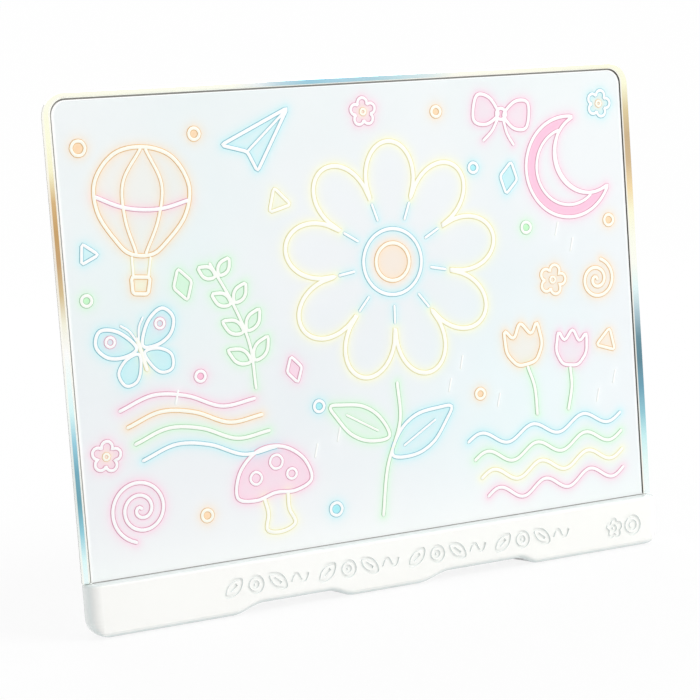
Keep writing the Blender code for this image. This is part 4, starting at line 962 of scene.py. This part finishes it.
def sprig():
    """A bent stalk with pairs of leaves."""
    stalk = flowing([(0, -28), (2.4, -10), (0, 8), (-5, 26)])
    made = Doodle().line("mint", stalk, width=0.9)
    for index in range(4):
        y = -17 + 12.5 * index
        x = float(np.interp(y, stalk[:, 1], stalk[:, 0]))
        for side, turn in ((1, 42), (-1, 138)):
            made.add(leaf(11 - index, 5.4 - 0.3 * index, vein=False), x + side, y, turn)
    return made


def paper_plane():
    hull = cornered([(-16, 1), (16, 11), (-2, -12), (-5, -3.4)], 1.4)
    return Doodle().shape("aqua", hull, 0.25).line("aqua", [(-4.4, -3), (14, 9.4)], width=0.8)


def bow():
    made = Doodle().shape("pink", ring(2.8), 0.8)
    for side in (-1, 1):
        loop = mirrored([(2.2, 1.6), (8, 7.4), (15, 7), (15.4, -4.6), (8.4, -6.2), (2.2, -1.6)],
                        side)
        made.shape("pink", flowing(loop, True), 0.3)
        made.line("pink", flowing(mirrored([(1.8, -3), (4.4, -9), (8.6, -14)], side)), width=0.9)
    return made


def blossom(colour):
    """A small flower of five round petals."""
    turns = round_turns(120)
    outline = polar(4.4 + 3.6 * np.abs(np.cos(2.5 * turns)) ** 0.6, turns)
    return Doodle().shape(colour, outline, 0.25, 0.9).line("orange", ring(1.7), True, 0.7)


def bead(colour, radius):
    return Doodle().shape(colour, ring(radius), 1.25, 0.9)


def gem(colour):
    outline = cornered([(0, 7.4), (4.6, 0), (0, -7.4), (-4.6, 0)], 1.3)
    return Doodle().shape(colour, outline, 0.5, 0.9)


def wedge(colour):
    return Doodle().shape(colour, cornered([(0, 6.2), (5.6, -3.6), (-5.6, -3.6)], 1.6), 0.3, 0.9)


def swell(colour, length):
    """A running wave of three crests that climbs a little."""
    x = np.linspace(0, length, 84)
    y = 3.2 * np.sin(6 * math.pi * x / length) + 4 * (x / length) ** 1.5
    return Doodle().line(colour, np.column_stack((x, y)))


def sweep(colour, points):
    return Doodle().line(colour, flowing(points))


def drawing():
    """The whole drawing: each motif with its place, turn and size."""
    made = Doodle()
    for motif, *place in (
            (daisy(), 14, 126, 8, 1.08),
            (sweep("mint", [(12, 70), (12, 52), (4, 32), (0, 10)]), 0, 0),
            (leaf(38, 16, "aqua"), 7, 37, 30), (leaf(34, 14), 6, 46, 150),
            (crescent(), 113, 163, 28), (balloon(), -107, 161, -6, 1.04),
            (butterfly(), -113, 98, 14), (spiral("pink", 2.6, 14.5), -119, 29, 40),
            (mushroom(), -54, 29, 6, 1.1), (tulip("orange"), 82, 78, 8, 1.05),
            (tulip("pink"), 108, 74, -8, 0.9), (sprig(), -66, 106, 12, 1.1),
            (paper_plane(), -50, 185, 6, 1.1), (bow(), 77, 190, -10, 0.95),
            (spiral("orange", 2.2, 10), 125, 108),
            (bead("orange", 3.2), -134, 187), (bead("orange", 2.6), -80, 190),
            (bead("aqua", 2.6), -29, 64), (bead("orange", 2.4), 42, 193),
            (bead("mint", 2.6), 87, 136), (bead("orange", 2.6), 134, 136),
            (bead("aqua", 3.0), -24, 16), (bead("pink", 2.4), -86, 84),
            (bead("orange", 2.4), 56, 60), (bead("mint", 2.4), -136, 122),
            (bead("orange", 2.6), -88, 22), (bead("aqua", 2.4), 60, 166),
            (blossom("pink"), -133, 54, 10, 0.85), (blossom("orange"), 100, 110, 0, 0.9),
            (blossom("pink"), 4, 195, 20, 0.8), (blossom("aqua"), 132, 192, 0, 0.8),
            (gem("mint"), -91, 125, 14), (gem("aqua"), 79, 160, -14, 1.05),
            (gem("pink"), -40, 82, 12, 0.85), (wedge("yellow"), -42, 158, 14),
            (wedge("orange"), 129, 78, -18), (wedge("aqua"), -134, 142, 24, 0.8)):
        made.add(motif, *place)
    for index, colour in enumerate(("aqua", "mint", "yellow", "pink")):
        made.add(swell(colour, 86 - 3 * index), 48 + 3 * index, 38 - 9 * index)
    for index, colour in enumerate(("pink", "orange", "mint", "aqua")):
        made.add(sweep(colour, [(0, 0), (16, 4.6), (32, 2), (48, -5), (64, -4)]),
                 -125 + 3 * index, 73 - 7.6 * index, 2)
    dash = Doodle().line("white", [(0, 3), (0, -3)], width=0.5)
    for x, y in ((40, 66), (47, 76), (122, 52), (132, 60), (66, 56), (-20, 50), (-32, 44),
                 (-98, 76), (104, 134), (112, 126)):
        made.add(dash, x, y, -16)
    return made


# Ink as raised ribbons: its section by share of the half width and of the height, and how a
# stroke's end closes, by share of the half width that is left to go and of the section's size
INK_HALF_WIDTH = 1.2
INK_HEIGHT = 0.28
INK_SINK = 0.05
INK_SPACING = 1.1
INK_SECTION = ((-1.0, 0.0), (-0.86, 0.42), (-0.62, 0.74), (-0.3, 0.94), (0.0, 1.0), (0.3, 0.94),
               (0.62, 0.74), (0.86, 0.42), (1.0, 0.0))
INK_CAPS = ((0.0, 0.0), (0.45, 0.62), (0.8, 0.9))

# Each ink's bright middle, its line of colour and its halo in the sheet
INKS = {
    "pink": ((255, 254, 255), (212, 140, 170), (254, 208, 228)),
    "aqua": ((254, 255, 255), (112, 186, 202), (189, 242, 248)),
    "yellow": ((255, 255, 247), (227, 220, 160), (253, 251, 216)),
    "orange": ((255, 254, 242), (224, 176, 106), (254, 228, 196)),
    "mint": ((253, 255, 250), (152, 204, 158), (211, 250, 213)),
    "white": ((255, 255, 253), (232, 240, 238), (250, 252, 252)),
}

# The sheet's colours low down and high up, the painted light of the edge lamps by the ledge, the
# painted highlight on its rim, and soft pools of colour, each with its place and reach
SHEET_LOWER, SHEET_UPPER = (236, 239, 242), (240, 245, 244)
SHEET_LEDGE_LIGHT, SHEET_RIM_HIGHLIGHT = (249, 251, 250), (253, 254, 254)
SHEET_TINTS = (((75, 55), 60, (232, 248, 249)), ((-105, 130), 50, (236, 247, 246)),
               ((10, 115), 55, (235, 238, 241)))


def on_sheet(point, lift):
    """A doodle's point on the sheet, lifted off it by so many millimetres."""
    return (point[0] * MM, SHEET_FRONT - lift * MM, LEDGE_TOP + point[1] * MM)


def add_ribbon(bm, across, line, closed, width):
    """One stroke: a low rounded section carried along its line, with round ends."""
    line = even(line, closed, INK_SPACING)
    ahead = headings(line, closed)
    half = INK_HALF_WIDTH * width
    stations = [(point, way, 1.0) for point, way in zip(line, ahead)]
    if not closed:
        start = [(line[0] - ahead[0] * half * (1 - shift), ahead[0], size)
                 for shift, size in INK_CAPS]
        stop = [(line[-1] + ahead[-1] * half * (1 - shift), ahead[-1], size)
                for shift, size in reversed(INK_CAPS)]
        stations = start + stations + stop
    rows = []
    for point, way, size in stations:
        side = np.array((-way[1], way[0])) * half
        row = []
        for share, rise in INK_SECTION if size else INK_SECTION[:1]:
            lift = INK_HEIGHT * rise * size - INK_SINK
            row.append(bm.verts.new(on_sheet(point + side * share * size, lift)))
            row[-1][across] = max(abs(share), 1 - size)
        rows.append(row if size else row * len(INK_SECTION))
    bridge(bm, rows, looped=closed)


def ink_pieces(doodle):
    """One piece for each colour of ink."""
    for colour, (core, edge, _) in INKS.items():
        bm = bmesh.new()
        across = bm.verts.layers.float.new("across")
        for name, line, closed, width in doodle.lines:
            if name == colour:
                add_ribbon(bm, across, line, closed, width)
        mesh = close(bm, bpy.data.meshes.new(f"ink_{colour}"))
        mesh.shade_smooth()
        show(f"ink_{colour}", mesh, neon_ink(f"neon_{colour}", core, edge))


def distance_to(points, line, closed):
    """How far each point lies from a line of many short pieces."""
    along = (np.roll(line, -1, axis=0) - line)[:len(line) if closed else -1]
    gaps = points[:, None] - line[:len(along)]
    shares = np.clip((gaps * along).sum(2) / (along ** 2).sum(1), 0, 1)
    return np.linalg.norm(gaps - shares[..., None] * along, axis=2).min(1)


def inside(points, line):
    """Which points lie within a closed line."""
    x, y = points[:, :1], points[:, 1:]
    (ax, ay), (bx, by) = line.T, np.roll(line, -1, axis=0).T
    at = ax + (y - ay) * (bx - ax) / np.where(by == ay, 1, by - ay)
    return np.logical_xor.reduce(((ay > y) != (by > y)) & (x < at), axis=1)


def near(points, line, margin):
    """The points within a margin of a line's own box."""
    low, high = line.min(0) - margin, line.max(0) + margin
    return np.flatnonzero(((points > low) & (points < high)).all(1))


def light(colour):
    """A screen colour's three parts in linear light."""
    return np.array(linear(colour)[:3])


def blended(colours, share, colour):
    """The colours, each with its own share of one more."""
    share = share[:, None]
    return colours * (1 - share) + colour * share


def halo_shares(points, doodle, colour, strength=0.62, fade=1.6, margin=9.0, spacing=2.0):
    """How strongly the lines of one ink glow at each point."""
    shares = np.zeros(len(points))
    for name, line, closed, width in doodle.lines:
        if name == colour:
            line = even(line, closed, spacing)
            which = near(points, line, margin)
            gap = distance_to(points[which], line, closed) - INK_HALF_WIDTH * width
            level = strength * width * np.exp(-np.clip(gap, 0, None) / fade)
            shares[which] = np.maximum(shares[which], level)
    return shares


def patch_shares(points, doodle, colour):
    """How strongly the patches of one ink show at each point: over 1 is deeper than its colour."""
    shares = np.zeros(len(points))
    for name, line, strength, hole in doodle.patches:
        if name == colour:
            which = near(points, line, 0.0)
            within = inside(points[which], line)
            if hole is not None:
                within &= ~inside(points[which], hole)
            shares[which] = np.maximum(shares[which], strength * within)
    return shares


def glow_colours(points, doodle, upper=0.6, tinted=0.6, ledge_fade=16, depth=1.35):
    """The sheet's colour at each point, in linear light: its ground, the painted light by the
    ledge, the patches and the halos.
    """
    height = np.clip(points[:, 1] / ((SHEET_TOP - LEDGE_TOP) / MM), 0, 1)
    colours = blended(light(SHEET_LOWER), height ** 2 * upper, light(SHEET_UPPER))
    for place, reach, tint in SHEET_TINTS:
        gap = np.linalg.norm(points - place, axis=1)
        colours = blended(colours, tinted * np.exp(-(gap / reach) ** 2), light(tint))
    # Painted light: the edge lamps' light, brightest by the ledge and fading upwards.
    lit = np.exp(-np.clip(points[:, 1], 0, None) / ledge_fade)
    colours = blended(colours, lit, light(SHEET_LEDGE_LIGHT))
    for colour, (_, _, halo) in INKS.items():
        deep = light(halo) ** depth
        fill = patch_shares(points, doodle, colour)
        colours = blended(colours, np.clip(fill, 0, 1), deep)
        colours *= 1 - np.clip(fill - 1, 0, 1)[:, None] * (1 - deep)
        colours = blended(colours, np.clip(halo_shares(points, doodle, colour), 0, 1), light(halo))
    return colours


def sheet_rows(straight_rows=168, round_rows=12):
    """Heights of the grid's rows as shares: even up the sheet, closer over the round corners."""
    straight = SHEET_TOP - SHEET_RADIUS
    turns = np.radians(np.linspace(0, 90, round_rows + 1)[1:])
    rows = np.array([SHEET_LOW.z, *np.linspace(LEDGE_TOP - MM, straight, straight_rows),
                     *(straight + SHEET_RADIUS * np.sin(turns))])
    return (rows - SHEET_LOW.z) / (SHEET_TOP - SHEET_LOW.z)


def sheet_point(across, up, inset):
    """A point of the sheet's outline or inside: -1 to 1 across, 0 to 1 upwards."""
    z = SHEET_LOW.z + up * (SHEET_TOP - inset - SHEET_LOW.z)
    above = z - (SHEET_TOP - SHEET_RADIUS)
    half = SHEET_HALF - inset
    if above > 0:
        radius = SHEET_RADIUS - inset
        half = SHEET_HALF - SHEET_RADIUS + math.sqrt(max(radius ** 2 - above ** 2, 0))
    return across * half, z


def writing_sheet(doodle, wide=235):
    """The acrylic with a fine grid over its front, which carries the colours of the glow."""
    rows, columns = sheet_rows(), np.linspace(-1, 1, wide)
    tall = len(rows)
    places = [sheet_point(u, v, SHEET_CHAMFER) for v in rows for u in columns]
    bm = bmesh.new()
    grid = [bm.verts.new((x, SHEET_FRONT, z)) for x, z in places]
    bridge(bm, [grid[row * wide:(row + 1) * wide] for row in range(tall)], closed=False)
    border = ([(0, k) for k in range(wide)] + [(r, wide - 1) for r in range(1, tall)]
              + [(tall - 1, k) for k in range(wide - 2, -1, -1)]
              + [(r, 0) for r in range(tall - 2, 0, -1)])
    rim = [row * wide + column for row, column in border]
    loops = [[grid[k] for k in rim]]
    for depth, inset in ((SHEET_FRONT + SHEET_CHAMFER, 0), (SHEET_REAR - SHEET_CHAMFER, 0),
                         (SHEET_REAR, SHEET_CHAMFER)):
        outline = [sheet_point(columns[column], rows[row], inset) for row, column in border]
        loops.append([bm.verts.new((x, depth, z)) for x, z in outline])
    bridge(bm, loops)
    bm.faces.new(loops[-1])
    mesh = close(bm, bpy.data.meshes.new("writing_sheet"))
    smooth(mesh, 30)

    points = np.array([(x / MM, (z - LEDGE_TOP) / MM) for x, z in places])
    colours = np.ones((len(mesh.vertices), 4))
    colours[:len(places), :3] = glow_colours(points, doodle)
    # Painted highlight: a white line round the sheet's rim.
    colours[rim, :3] = light(SHEET_RIM_HIGHLIGHT)
    layer = mesh.color_attributes.new("glow", "FLOAT_COLOR", "POINT")
    layer.data.foreach_set("color", colours.astype(np.float32).ravel())
    sheet = show("writing_sheet", mesh, lit_sheet())
    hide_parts("writing_panel")


def main():
    make_camera()
    make_world(fill=0.57)
    make_lamp("key_lamp", (1.4, -1.7, 1.6), 35.0)
    make_lamp("rear_lamp", (0.7, 2.1, 1.2), 14.0)
    make_floor()
    dress_nodes()
    doodle = drawing()
    writing_sheet(doodle)
    ink_pieces(doodle)


bpy.context.scene.view_settings.view_transform = "Standard"
main()
